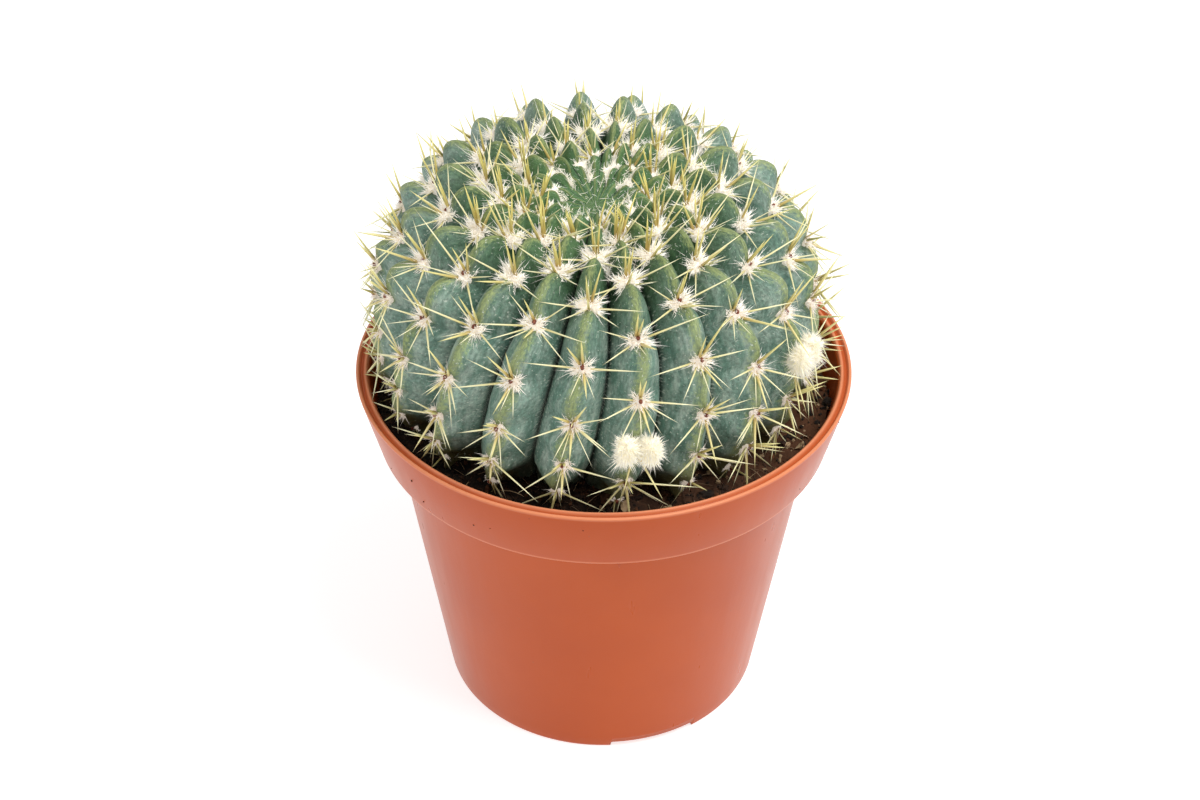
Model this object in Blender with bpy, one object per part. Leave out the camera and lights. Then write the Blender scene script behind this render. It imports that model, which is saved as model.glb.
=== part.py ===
"""A barrel cactus in a tapered nursery pot: pot, soil, ribbed stem with its spines, and woolly flower buds.

Metres, +Z up. The origin is the centre of the pot's foot, on the surface it stands on. -Y is the front.
"""

import math

import bmesh
import bpy
from mathutils import Matrix, Vector
from mathutils.bvhtree import BVHTree
from mathutils.geometry import intersect_point_line

MM = 0.001
GAP = 0.3 * MM  # left between pieces that touch

# Pot: one injection moulding with a wide collar at the top
POT_SIDES = 72
POT_HEIGHT = 92.8 * MM
RIM_RADIUS = 60.0 * MM
RIM_LAND = 3.3 * MM
RIM_ROUND = 0.6 * MM
RIM_GROOVE = 0.5 * MM
COLLAR_DROP = 17.2 * MM
COLLAR_FOOT_RADIUS = 55.6 * MM
WALL_TOP_RADIUS = 51.6 * MM
FOOT_RADIUS = 40.1 * MM
WALL = 1.4 * MM
LEDGE = POT_HEIGHT - COLLAR_DROP + 2.0 * MM  # inside, over the collar's foot
LEDGE_SLOPE = 0.6 * MM
COLLAR_ROUND = 0.5 * MM
FOOT_WIDTH = 3.4 * MM
FOOT_ROUND = 0.7 * MM
FOOT_BAND = 4.0 * MM
FLOOR_RISE = 3.0 * MM
FLOOR_THICK = 1.6 * MM
FLOOR_ROUND = 1.2 * MM
NOTCHES = 3
NOTCH_AZIMUTH = math.radians(19.3)
NOTCH_WIDTH = 22.0 * MM
NOTCH_HEIGHT = 1.8 * MM
DRAIN_HOLES = 6
DRAIN_SIDES = 16
DRAIN_RADIUS = 4.0 * MM
DRAIN_CIRCLE = 24.0 * MM

# Soil: a plug that fills the pot to 10 mm below the rim
SOIL_TOP = 82.8 * MM
SOIL_SIDES = 48
SOIL_CORNER = 1.5 * MM

# Stem: a flattened globe of ribs around an axis that leans to the front
RIBS = 21
LEAN = math.radians(9.3)
PIVOT = Vector((-2.2, 1.0, 100.0)) * MM
GIRTH = 51.8 * MM  # radius of the line of areoles at its widest
GIRTH_HEIGHT = 106.0 * MM
CROWN = 39.9 * MM  # height of the apex over the widest place
CROWN_POWER = 2.69
SKIRT = 60.0 * MM  # how far below the widest place the globe would close
SKIRT_POWER = 2.2
SKIRT_SHARE = 0.85  # of it that is drawn, past the soil
APEX_DIP = 2.5 * MM
APEX_DIP_RADIUS = 14.0 * MM
CREST_AZIMUTH = math.radians(10.0)  # of the first rib, at the height below
CREST_HEIGHT = 115.0 * MM
TWIST = math.radians(0.181) / MM
GROOVE = 8.5 * MM
GROOVE_GROWN = 24.0 * MM  # distance from the apex where it is full
GROOVE_FADE = (0.3, 70.0 * MM, 35.0 * MM)  # share lost further down, where that starts, over what length
BUMP = 3.6 * MM  # how far the crest stands out between two areoles
BUMP_GROWN = 26.0 * MM
BUMP_FADE = (0.6, 50.0 * MM, 50.0 * MM)
BUMP_POWER = 1.6
RIB_COLUMNS = (0.0, 0.14, 0.5, 0.86)  # places across one rib, crest first
FLANK_POWER = 1.4
APEX_RING_ARC = 4.0 * MM
APEX_SHARES = (0.3, 0.65)  # rows between the apex and each rib's first areole
LAST_ROW_ARC = 125.0 * MM  # under the soil, where it is cut away
SLOPE_ARC = 1.5 * MM  # either way of a place, to find the skin's slope there
SLOPE_ACROSS = 0.02
ROOT_TOP_RADIUS = 30.0 * MM
ROOT_TIP_RADIUS = 12.0 * MM
ROOT_DEPTH = 14.0 * MM
ROOT_OVERLAP = 2.0 * MM  # of the root collar with the stem
ROOT_SHOULDER = 3.0 * MM
ROOT_SIDES = 32

# Areoles: the woolly pads along each rib, numbered from the apex down
FIRST_ARC = 24.0 * MM  # distance from the apex of an areole numbered 0
AREOLE_STEP = 15.9 * MM
AREOLE_STEP_LOSS = 0.7 * MM
FIRST_AREOLE = -1
LAST_AREOLE = 7
FIRST_PHASE = 0.2
SPIRAL_STEP = 13 / RIBS  # of an areole step, from one rib to the next
LATE_AT_BACK = 0.15
EARLY_AT_RIGHT = 0.06
AREOLE_ROWS = (0.0, 0.15, 0.5, 0.85)
PAD_INSET = 0.35 * MM
PAD_RISE = 0.6 * MM
LOWEST_PAD = SOIL_TOP + 9.0 * MM
YOUNG_ARC = 30.0 * MM

# Spines: (angle round the pad from straight up, lift off the skin, length)
SPINES = (
    (180, 40, 12.0),
    (-134, 24, 6.0),
    (-94, 18, 8.8),
    (-20, 34, 11.0),
    (20, 34, 11.0),
    (94, 18, 8.8),
    (128, 24, 6.0),
    (150, 24, 5.5),
)
FIRST_BEARING = math.radians(-157.5)  # of the facet that carries the first of them
YOUNG_SPINES = {3: (62, 7.0), 4: (62, 7.0), 0: (78, 7.0)}
FULL_STEP = 13.0 * MM  # nearer areoles than this carry shorter spines
SPINE_REACH = 57.0 * MM
SPINE_REACH_IN_POT = 54.5 * MM
SPINE_CLEARANCE = 2.0 * MM  # of the lowest tips over the soil
RIM_CLEARANCE = 1.5 * MM
SHORTER = 0.88  # each try at a spine that has too little room
SHORTER_TRIES = 14

# Buds: woolly balls in pairs, each pair on one areole: (rib, areole number, side of the crest)
BUDS = {
    "bud_front_left": (0, 3, -1),
    "bud_front_right": (0, 3, 1),
    "bud_side_left": (3, 3, -1),
    "bud_side_right": (3, 3, 1),
}
BUD_RADIUS = 3.3 * MM
BUD_STRETCH = 1.25  # height over width
BUD_SPREAD = 3.8 * MM
BUD_RISE = 2.4 * MM
BUD_OUT = 3.0 * MM
BUD_NUDGE = 0.05 * MM
BUD_KEEP_OFF = 4.8 * MM  # between a bud's middle and a spine


def clear_scene():
    for obj in list(bpy.data.objects):
        bpy.data.objects.remove(obj)


def material(name, colour, roughness):
    made = bpy.data.materials.new(name)
    made.use_nodes = True
    shader = made.node_tree.nodes["Principled BSDF"]
    shader.inputs["Base Color"].default_value = (*colour, 1.0)
    shader.inputs["Roughness"].default_value = roughness
    shader.inputs["Metallic"].default_value = 0.0
    return made


def add_object(name, bm, finish):
    mesh = bpy.data.meshes.new(name)
    bm.to_mesh(mesh)
    bm.free()
    mesh.shade_smooth()
    mesh.set_sharp_from_angle(angle=math.radians(35))
    mesh.materials.append(finish)
    obj = bpy.data.objects.new(name, mesh)
    bpy.context.scene.collection.objects.link(obj)
    return obj


def smoothstep(x):
    x = min(max(x, 0.0), 1.0)
    return x * x * (3.0 - 2.0 * x)


def turned(profile, sides):
    """A closed solid turned round +Z from (radius, height) points, listed from the axis and back to it."""
    bm = bmesh.new()
    points = [bm.verts.new((radius, 0.0, height)) for radius, height in profile]
    edges = [bm.edges.new(pair) for pair in zip(points, points[1:])]
    bmesh.ops.spin(
        bm, geom=points + edges, axis=(0, 0, 1), cent=(0, 0, 0), steps=sides, angle=math.tau, use_merge=True
    )
    bmesh.ops.remove_doubles(bm, verts=bm.verts, dist=0.01 * MM)
    bmesh.ops.recalc_face_normals(bm, faces=bm.faces)
    return bm


def cut(obj, cutter):
    cutter.hide_render = True
    cutter.display_type = "WIRE"
    boolean = obj.modifiers.new("cut_" + cutter.name, "BOOLEAN")
    boolean.operation = "DIFFERENCE"
    boolean.solver = "EXACT"
    boolean.object = cutter


# Pot


def outer_radius(height):
    """Radius of the tapered wall's outside, below the collar."""
    return FOOT_RADIUS + (WALL_TOP_RADIUS - FOOT_RADIUS) * height / (POT_HEIGHT - COLLAR_DROP)


def inner_radius(height):
    """Radius of the pot's inside. It widens at the ledge that the collar's foot makes."""
    if height < LEDGE:
        return outer_radius(height) - WALL
    low = COLLAR_FOOT_RADIUS - WALL
    return low + (RIM_RADIUS - RIM_LAND - low) * (height - LEDGE) / (POT_HEIGHT - LEDGE)


def pot_profile():
    collar_foot = POT_HEIGHT - COLLAR_DROP
    floor_top = FLOOR_RISE + FLOOR_THICK
    middle = RIM_RADIUS - RIM_LAND / 2
    inner_rim = RIM_RADIUS - RIM_LAND
    return [
        (0.0, FLOOR_RISE),
        (FOOT_RADIUS - FOOT_WIDTH - FOOT_ROUND, FLOOR_RISE),
        (FOOT_RADIUS - FOOT_WIDTH, 0.0),
        (FOOT_RADIUS - FOOT_ROUND, 0.0),
        (FOOT_RADIUS, FOOT_ROUND),
        (outer_radius(FOOT_BAND), FOOT_BAND),
        (WALL_TOP_RADIUS, collar_foot + COLLAR_ROUND),
        (COLLAR_FOOT_RADIUS - COLLAR_ROUND, collar_foot),
        (COLLAR_FOOT_RADIUS, collar_foot + COLLAR_ROUND),
        (RIM_RADIUS, POT_HEIGHT - RIM_ROUND),
        (RIM_RADIUS - RIM_ROUND, POT_HEIGHT),
        (middle + RIM_GROOVE, POT_HEIGHT),
        (middle, POT_HEIGHT - RIM_GROOVE),
        (middle - RIM_GROOVE, POT_HEIGHT),
        (inner_rim + RIM_ROUND, POT_HEIGHT),
        (inner_rim, POT_HEIGHT - RIM_ROUND),
        (inner_radius(LEDGE), LEDGE),
        (inner_radius(LEDGE - LEDGE_SLOPE), LEDGE - LEDGE_SLOPE),
        (inner_radius(floor_top + FLOOR_ROUND), floor_top + FLOOR_ROUND),
        (inner_radius(floor_top) - FLOOR_ROUND, floor_top),
        (0.0, floor_top),
    ]


def make_pot(finish):
    pot = add_object("pot", turned(pot_profile(), POT_SIDES), finish)
    notches = bmesh.new()
    for index in range(NOTCHES):
        azimuth = NOTCH_AZIMUTH + index * math.tau / NOTCHES
        place = Matrix.Rotation(azimuth, 4, "Z") @ Matrix.Translation((0, -FOOT_RADIUS + FOOT_WIDTH / 2, 0))
        size = Matrix.Diagonal((NOTCH_WIDTH, 3 * FOOT_WIDTH, 2 * NOTCH_HEIGHT, 1.0))
        bmesh.ops.create_cube(notches, size=1.0, matrix=place @ size)
    cut(pot, add_object("foot_notches", notches, finish))
    drains = bmesh.new()
    for index in range(DRAIN_HOLES):
        turn = Matrix.Rotation((index + 0.5) * math.tau / DRAIN_HOLES, 4, "Z")
        place = turn @ Matrix.Translation((DRAIN_CIRCLE, 0, FLOOR_RISE + FLOOR_THICK / 2))
        bmesh.ops.create_cone(
            drains, cap_ends=True, segments=DRAIN_SIDES, radius1=DRAIN_RADIUS, radius2=DRAIN_RADIUS,
            depth=3 * FLOOR_THICK, matrix=place,
        )
    cut(pot, add_object("drain_drills", drains, finish))
    return pot


# Soil


def make_soil(finish):
    bottom = FLOOR_RISE + FLOOR_THICK + GAP
    centre = root_centre()
    profile = [
        (0.0, bottom),
        (inner_radius(bottom) - SOIL_CORNER - GAP, bottom),
        (inner_radius(bottom + SOIL_CORNER) - GAP, bottom + SOIL_CORNER),
        (inner_radius(LEDGE - LEDGE_SLOPE) - GAP, LEDGE - LEDGE_SLOPE + GAP),
        (inner_radius(LEDGE) - GAP, LEDGE + GAP),
        (inner_radius(SOIL_TOP) - GAP, SOIL_TOP),
        (0.0, SOIL_TOP),
    ]
    soil = add_object("soil", turned(profile, SOIL_SIDES), finish)
    seat = turned(root_profile(GAP), ROOT_SIDES)
    bmesh.ops.translate(seat, verts=seat.verts, vec=(centre.x, centre.y, 0.0))
    cut(soil, add_object("root_seat", seat, finish))
    return soil


def root_centre():
    """Where the leaning axis passes through the soil's surface."""
    drop = PIVOT.z - SOIL_TOP
    return Vector((PIVOT.x, PIVOT.y + drop * math.tan(LEAN), SOIL_TOP))


def root_profile(clearance):
    """The root collar below the stem. A clearance makes it the seat that the soil leaves for it."""
    top = SOIL_TOP + ROOT_OVERLAP
    bottom = SOIL_TOP - ROOT_DEPTH - clearance
    return [
        (0.0, bottom),
        (ROOT_TIP_RADIUS + clearance, bottom),
        (ROOT_TOP_RADIUS + clearance, SOIL_TOP - ROOT_SHOULDER),
        (ROOT_TOP_RADIUS + clearance, top),
        (0.0, top),
    ]


# Stem


def globe_outline(samples=240):
    """(arc length, radius, height) along the line of areoles, from the apex down to the skirt."""
    rows = []
    for index in range(samples + 1):
        turn = math.pi / 2 * index / samples
        radius = GIRTH * math.sin(turn) ** (2 / CROWN_POWER)
        height = GIRTH_HEIGHT + CROWN * max(math.cos(turn), 0.0) ** (2 / CROWN_POWER)
        height -= APEX_DIP * (1.0 - smoothstep(radius / APEX_DIP_RADIUS))
        rows.append((radius, height))
    for index in range(1, samples + 1):
        drop = SKIRT_SHARE * SKIRT * index / samples
        radius = GIRTH * (1.0 - (drop / SKIRT) ** SKIRT_POWER) ** (1 / SKIRT_POWER)
        rows.append((radius, GIRTH_HEIGHT - drop))
    arc = 0.0
    outline = [(0.0, *rows[0])]
    for before, after in zip(rows, rows[1:]):
        arc += math.dist(before, after)
        outline.append((arc, *after))
    return outline


OUTLINE = globe_outline()


def on_outline(arc):
    """(radius, height) at an arc length from the apex."""
    low, high = 0, len(OUTLINE) - 1
    while high - low > 1:
        middle = (low + high) // 2
        low, high = (middle, high) if OUTLINE[middle][0] <= arc else (low, middle)
    share = (arc - OUTLINE[low][0]) / (OUTLINE[high][0] - OUTLINE[low][0])
    return tuple(a + (b - a) * share for a, b in zip(OUTLINE[low][1:], OUTLINE[high][1:]))


def outline_normal(arc):
    """Outward (radius, height) direction of the outline."""
    before = on_outline(max(arc - SLOPE_ARC, 0.0))
    after = on_outline(arc + SLOPE_ARC)
    normal = Vector((before[1] - after[1], after[0] - before[0]))
    return normal.normalized()


def areole_phase(rib):
    """How far down its rib, in areole steps, a rib's row of areoles is shifted.

    Areoles grow in a spiral in which neighbouring ribs are 13 of 21 steps apart. It runs a little late on
    the side of the plant that grew faster.
    """
    turn = math.tau * rib / RIBS
    late = LATE_AT_BACK * (1.0 - math.cos(turn)) - EARLY_AT_RIGHT * math.sin(turn)
    return (FIRST_PHASE + rib * SPIRAL_STEP + late) % 1.0


def areole_arc(number):
    """Distance from the apex, along the outline, of a place numbered in areoles."""
    return FIRST_ARC + AREOLE_STEP * number - AREOLE_STEP_LOSS * number * number


def grown(full, full_at, fade, arc):
    """A size that grows in from the apex to where it is full, and fades again towards the soil."""
    share, start, length = fade
    return full * smoothstep(arc / full_at) * (1.0 - share * smoothstep((arc - start) / length))


def skin_point(rib, across, arc, along):
    """A point of the stem's skin in the plant's own frame.

    across runs from one crest (0) to the next (1), arc is the distance from the apex, and along is the
    place between areoles, whole at an areole.
    """
    radius, height = on_outline(arc)
    normal = outline_normal(arc)
    groove = grown(GROOVE, GROOVE_GROWN, GROOVE_FADE, arc)
    bump = grown(BUMP, BUMP_GROWN, BUMP_FADE, arc)
    crest = bump * abs(math.sin(math.pi * along)) ** BUMP_POWER
    flank = (2.0 * min(across, 1.0 - across)) ** FLANK_POWER
    out = crest * (1.0 - flank) - groove * flank
    radius += normal.x * out
    height += normal.y * out
    azimuth = CREST_AZIMUTH + (rib + across) * math.tau / RIBS + TWIST * (height - CREST_HEIGHT)
    return Vector((radius * math.sin(azimuth), -radius * math.cos(azimuth), height))


def plant_frame():
    """From the plant's own frame, whose axis is upright, to the world, where it leans."""
    lean = Matrix.Rotation(LEAN, 4, "X")
    return Matrix.Translation(PIVOT) @ lean @ Matrix.Translation((0.0, 0.0, -PIVOT.z))


def stem_rows():
    """Rows from the apex down: (share, number). Share below 1 runs from the apex to the first areole."""
    rows = [(share, FIRST_AREOLE) for share in APEX_SHARES]
    for number in range(FIRST_AREOLE, LAST_AREOLE + 1):
        rows += [(1.0, number + part) for part in AREOLE_ROWS]
    return rows


def stem_skin():
    """The ribbed skin as an open grid, in the world's frame, with its areole points marked."""
    rows = stem_rows()
    columns = RIBS * len(RIB_COLUMNS)
    bm = bmesh.new()
    mark = bm.verts.layers.int.new("areole")
    line = [bm.verts.new((1.0, 0.0, float(index))) for index in range(len(rows) + 1)]
    edges = [bm.edges.new(pair) for pair in zip(line, line[1:])]
    bmesh.ops.spin(
        bm, geom=line + edges, axis=(0, 0, 1), cent=(0, 0, 0), steps=columns, angle=math.tau, use_merge=True
    )
    bmesh.ops.remove_doubles(bm, verts=bm.verts, dist=0.001)
    frame = plant_frame()
    for vert in bm.verts:
        row = round(vert.co.z)
        column = round(math.atan2(vert.co.y, vert.co.x) / math.tau * columns) % columns
        rib, place = divmod(column, len(RIB_COLUMNS))
        across = RIB_COLUMNS[place]
        phase = areole_phase(rib) * (1.0 - across) + areole_phase((rib + 1) % RIBS) * across
        if row == len(rows):
            arc = LAST_ROW_ARC
            along = 0.5
        else:
            share, number = rows[row]
            arc = areole_arc(number + phase) * share
            along = number if share == 1.0 else 0.5
        if row == 0:
            arc = APEX_RING_ARC
            across = 0.0
        if place == 0 and row > 1 and abs(along - round(along)) < 0.01 and row < len(rows):
            vert[mark] = 1 + rib * 100 + round(along) - FIRST_AREOLE
        vert.co = frame @ skin_point(rib, across, arc, along)
    bmesh.ops.remove_doubles(bm, verts=bm.verts, dist=0.02 * MM)
    return bm, mark


def close_stem(bm):
    """Closes the apex, and cuts the foot level just over the soil."""
    rim = [edge for edge in bm.edges if edge.is_boundary and edge.verts[0].co.z > GIRTH_HEIGHT]
    apex = bmesh.ops.holes_fill(bm, edges=rim, sides=0)["faces"]
    bmesh.ops.poke(bm, faces=apex)
    bmesh.ops.bisect_plane(
        bm, geom=bm.verts[:] + bm.edges[:] + bm.faces[:], dist=0.001 * MM,
        plane_co=(0, 0, SOIL_TOP + GAP), plane_no=(0, 0, 1), clear_inner=True,
    )
    foot = [edge for edge in bm.edges if edge.is_boundary]
    bmesh.ops.holes_fill(bm, edges=foot, sides=0)
    bmesh.ops.recalc_face_normals(bm, faces=bm.faces)


def areole_frame(rib, number):
    """The middle of an areole with its directions: out of the skin, up the rib and to the side."""
    arc = areole_arc(number + areole_phase(rib))
    frame = plant_frame()
    here = frame @ skin_point(rib, 0.0, arc, 0.0)
    above = frame @ skin_point(rib, 0.0, arc - SLOPE_ARC, 0.0)
    below = frame @ skin_point(rib, 0.0, arc + SLOPE_ARC, 0.0)
    up = (above - below).normalized()
    right = frame @ skin_point(rib, SLOPE_ACROSS, arc, 0.0)
    left = frame @ skin_point(rib - 1, 1.0 - SLOPE_ACROSS, arc, 0.0)
    out = (right - left).cross(up).normalized()
    side = up.cross(out)
    return here, out, up, side, arc


def bud_centre(place, rise_out):
    """The middle of a bud at a height over its areole."""
    rib, number, hand = place
    here, out, up, side, _ = areole_frame(rib, number)
    return here + side * hand * BUD_SPREAD + up * BUD_RISE + out * rise_out


def spine_tip(root, direction, length, keep_off):
    """A spine's tip, drawn in where the pot's rim, the soil or a bud leaves it no room."""
    for _ in range(SHORTER_TRIES):
        tip = root + direction * length
        reach = math.hypot(tip.x, tip.y)
        limit = SPINE_REACH if tip.z > POT_HEIGHT + RIM_CLEARANCE else SPINE_REACH_IN_POT
        nearest = [intersect_point_line(centre, root, tip) for centre in keep_off]
        on_spine = [root.lerp(tip, min(max(share, 0.0), 1.0)) for _, share in nearest]
        off_buds = all((point - centre).length > BUD_KEEP_OFF for point, centre in zip(on_spine, keep_off))
        if reach < limit and tip.z > SOIL_TOP + SPINE_CLEARANCE and off_buds:
            break
        length *= SHORTER
    return tip


def grow_areole(bm, vert, rib, number, keep_off):
    """Raises the woolly pad round one areole point and draws its spines out of the pad's facets."""
    here, out, up, side, arc = areole_frame(rib, number)
    pad = list(vert.link_faces)
    bmesh.ops.inset_region(bm, faces=pad, thickness=PAD_INSET, depth=PAD_RISE, use_even_offset=True)
    facets = []
    for face in pad:
        ring = list(face.verts)
        far = ring[(ring.index(vert) + 2) % 4]
        split, _ = bmesh.utils.face_split(face, vert, far)
        facets += [face, split]
    if any((rib, number) == (bud[0], bud[1]) for bud in BUDS.values()):
        return

    step = areole_arc(number + 0.5 + areole_phase(rib)) - areole_arc(number - 0.5 + areole_phase(rib))
    crowding = min(step / FULL_STEP, 1.0)

    def bearing(face):
        toward = face.calc_center_median() - here
        return math.atan2(toward.dot(side), toward.dot(up))

    def from_first(face):
        return abs(math.remainder(bearing(face) - FIRST_BEARING, math.tau))

    facets.sort(key=bearing)
    first = facets.index(min(facets, key=from_first))
    for index, facet in enumerate(facets[first:] + facets[:first]):
        angle, lift, length = SPINES[index]
        if arc < YOUNG_ARC:
            if index not in YOUNG_SPINES:
                continue
            lift, length = YOUNG_SPINES[index]
        along = up * math.cos(math.radians(angle)) + side * math.sin(math.radians(angle))
        direction = along * math.cos(math.radians(lift)) + out * math.sin(math.radians(lift))
        root = facet.calc_center_median()
        tip = bmesh.ops.poke(bm, faces=[facet])["verts"][0]
        tip.co = spine_tip(root, direction, length * crowding * MM, keep_off)


def make_stem(finish):
    bm, mark = stem_skin()
    close_stem(bm)
    buds = [bud_centre(place, BUD_OUT) for place in BUDS.values()]
    marked = [vert for vert in bm.verts if vert[mark] and vert.co.z > LOWEST_PAD and len(vert.link_faces) == 4]
    for vert in marked:
        rib, number = divmod(vert[mark] - 1, 100)
        grow_areole(bm, vert, rib, number + FIRST_AREOLE, buds)
    bmesh.ops.triangulate(bm, faces=bm.faces)
    stem = add_object("cactus_stem", bm, finish)
    root = turned(root_profile(0.0), ROOT_SIDES)
    centre = root_centre()
    bmesh.ops.translate(root, verts=root.verts, vec=(centre.x, centre.y, 0.0))
    collar = add_object("root_collar", root, finish)
    collar.hide_render = True
    collar.display_type = "WIRE"
    join = stem.modifiers.new("join_root_collar", "BOOLEAN")
    join.operation = "UNION"
    join.solver = "EXACT"
    join.object = collar
    return stem


# Buds


def is_clear(tree, bm):
    """Whether a small mesh neither crosses the solid in the tree nor comes nearer to it than the gap."""
    crosses = tree.overlap(BVHTree.FromBMesh(bm))
    return not crosses and min(tree.find_nearest(vert.co)[3] for vert in bm.verts) > GAP


def make_bud(name, place, tree, finish):
    """A woolly ball beside the crest, moved out of the skin until only the gap is left."""
    start = bud_centre(place, 0.0)
    out = (bud_centre(place, BUD_OUT) - start).normalized()
    bm = bmesh.new()
    stretch = Matrix.Diagonal((1.0, 1.0, BUD_STRETCH, 1.0))
    bmesh.ops.create_icosphere(bm, subdivisions=2, radius=BUD_RADIUS, matrix=Matrix.Translation(start) @ stretch)
    while not is_clear(tree, bm):
        bmesh.ops.translate(bm, verts=bm.verts, vec=out * BUD_NUDGE)
    return add_object(name, bm, finish)


def main():
    clear_scene()
    terracotta_plastic = material("moulded_pot_plastic", (0.55, 0.13, 0.05), 0.38)
    peat = material("potting_peat", (0.03, 0.018, 0.012), 0.95)
    skin = material("cactus_skin", (0.10, 0.19, 0.13), 0.5)
    wool = material("bud_wool", (0.86, 0.78, 0.62), 0.9)
    make_pot(terracotta_plastic)
    make_soil(peat)
    stem = make_stem(skin)
    bpy.context.view_layer.update()
    tree = BVHTree.FromObject(stem, bpy.context.evaluated_depsgraph_get())
    for name, place in BUDS.items():
        make_bud(name, place, tree, wool)


main()
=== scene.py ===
# %% [markdown]
# # A barrel cactus in its nursery pot
# This lesson dresses the solid parts of a small potted cactus until they look alive. The pot, the soil and
# the ribbed stem keep the sizes of the solids, and everything that is too fine for a solid grows here: the
# folds of the skin, the wool and the spines of each areole, the woolly buds, and the crumbs and fibres of the
# peat. First the solids are loaded and their box is measured, because nothing that grows may stick out of it.

# %% The solid parts
import math

import bmesh
import bpy
import numpy as np
from mathutils import Matrix, Vector, noise
from mathutils.bvhtree import BVHTree


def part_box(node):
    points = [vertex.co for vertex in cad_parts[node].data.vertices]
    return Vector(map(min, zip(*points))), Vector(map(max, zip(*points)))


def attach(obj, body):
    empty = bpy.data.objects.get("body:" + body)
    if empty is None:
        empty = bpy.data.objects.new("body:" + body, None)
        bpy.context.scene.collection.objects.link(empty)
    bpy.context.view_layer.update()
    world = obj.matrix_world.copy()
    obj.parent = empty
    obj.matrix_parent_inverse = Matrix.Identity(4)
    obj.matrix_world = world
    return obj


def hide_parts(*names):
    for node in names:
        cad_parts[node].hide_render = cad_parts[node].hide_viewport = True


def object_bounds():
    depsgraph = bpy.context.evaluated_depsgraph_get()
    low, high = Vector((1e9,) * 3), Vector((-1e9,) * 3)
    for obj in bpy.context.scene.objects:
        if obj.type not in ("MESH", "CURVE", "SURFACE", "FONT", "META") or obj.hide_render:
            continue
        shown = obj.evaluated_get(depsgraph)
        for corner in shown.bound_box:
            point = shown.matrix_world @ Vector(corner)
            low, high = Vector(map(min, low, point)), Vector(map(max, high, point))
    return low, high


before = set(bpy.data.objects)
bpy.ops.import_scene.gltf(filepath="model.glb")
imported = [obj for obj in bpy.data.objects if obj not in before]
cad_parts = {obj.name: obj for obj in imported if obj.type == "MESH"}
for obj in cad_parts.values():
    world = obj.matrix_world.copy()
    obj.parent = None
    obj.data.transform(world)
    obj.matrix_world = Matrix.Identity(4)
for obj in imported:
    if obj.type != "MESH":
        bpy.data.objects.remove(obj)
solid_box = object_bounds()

MM = 0.001
chance = np.random.default_rng(21)  # one seeded source of chance, so that every run grows the same plant
print("solids:", ", ".join(sorted(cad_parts)))

# %% [markdown]
# ## Colours and shader nodes
# Colours are picked as sRGB hex codes, as in a paint program, but a shader wants linear light, so one
# function turns them. Clicking nodes together by hand is slow to repeat, so another function adds a node with
# its settings and links in one call, and a material then reads as a recipe. A link starts at the node that
# feeds it, and is made to the input of that name that is in use, because a Mix node has four inputs called A.
# The inputs of a Math node all share one name, so they are numbered instead.

# %% Colours and shader nodes


def colour(code):
    """An sRGB hex code as linear RGBA."""
    parts = [int(code[i : i + 2], 16) / 255 for i in (1, 3, 5)]
    return tuple(c / 12.92 if c <= 0.04045 else ((c + 0.055) / 1.055) ** 2.4 for c in parts) + (1.0,)


def feed(made, inputs):
    """Fills inputs, named or numbered, with values, sockets, or nodes, which stand for their output."""
    for name, value in inputs.items():
        by_name = (socket for socket in made.inputs if socket.enabled and socket.name == name)
        socket = made.inputs[name] if isinstance(name, int) else next(by_name)
        if isinstance(value, bpy.types.Node):
            value = next(output for output in value.outputs if output.enabled)
        if isinstance(value, bpy.types.NodeSocket):
            made.id_data.links.new(value, socket)
        else:
            socket.default_value = value


def node(tree, kind, inputs=None, **settings):
    """Adds a shader node with its settings and its inputs."""
    made = tree.nodes.new(kind)
    for name, value in settings.items():
        setattr(made, name, value)
    feed(made, inputs or {})
    return made


def new_material(name, roughness, ior=1.5):
    """A dielectric material, with its tree and its shader."""
    made = bpy.data.materials.new(name)
    made.use_nodes = True
    shader = made.node_tree.nodes["Principled BSDF"]
    feed(shader, {"Roughness": roughness, "IOR": ior})
    return made, made.node_tree, shader


print("terracotta red in linear light:", [round(part, 3) for part in colour("#AE4608")])

# %% [markdown]
# ## Turned shapes
# A pot, a plug of soil, a spine and a hair are all round about an axis. Each could be a stack of primitives,
# but a line of points that is spun round the axis follows the real outline and closes itself at the poles.
# The normals are recalculated after the spin, because it can turn a shape inside out.

# %% Turned shapes


def turned(profile, sides):
    """A closed shape spun round +Z from (radius, height) points."""
    bm = bmesh.new()
    points = [bm.verts.new((radius, 0.0, height)) for radius, height in profile]
    edges = [bm.edges.new(pair) for pair in zip(points, points[1:])]
    bmesh.ops.spin(
        bm, geom=points + edges, axis=(0, 0, 1), cent=(0, 0, 0), steps=sides, angle=math.tau, use_merge=True
    )
    bmesh.ops.remove_doubles(bm, verts=bm.verts, dist=1e-6)
    bmesh.ops.recalc_face_normals(bm, faces=bm.faces)
    return bm


def object_from(name, mesh, finish):
    mesh.name = name
    mesh.materials.clear()
    mesh.materials.append(finish)
    made = bpy.data.objects.new(name, mesh)
    bpy.context.scene.collection.objects.link(made)
    return made


def object_from_bmesh(name, bm, finish, sharp_angle=40):
    mesh = bpy.data.meshes.new(name)
    bm.to_mesh(mesh)
    bm.free()
    mesh.shade_smooth()
    mesh.set_sharp_from_angle(angle=math.radians(sharp_angle))
    return object_from(name, mesh, finish)


def applied(obj):
    """The object's mesh with its modifiers worked in."""
    bpy.context.view_layer.update()
    return bpy.data.meshes.new_from_object(obj.evaluated_get(bpy.context.evaluated_depsgraph_get()))


# %% [markdown]
# ## Thousands of small things
# Hairs, spines and crumbs could be thousands of objects, or a particle system. Objects are slow, and
# particles are lost when the model is exported. Here each small thing is modelled once, with as few faces as
# it can have, an Array modifier makes the copies in one mesh, and the code gives each copy its own place,
# size and bend.

# %% Many copies of a small shape


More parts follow.
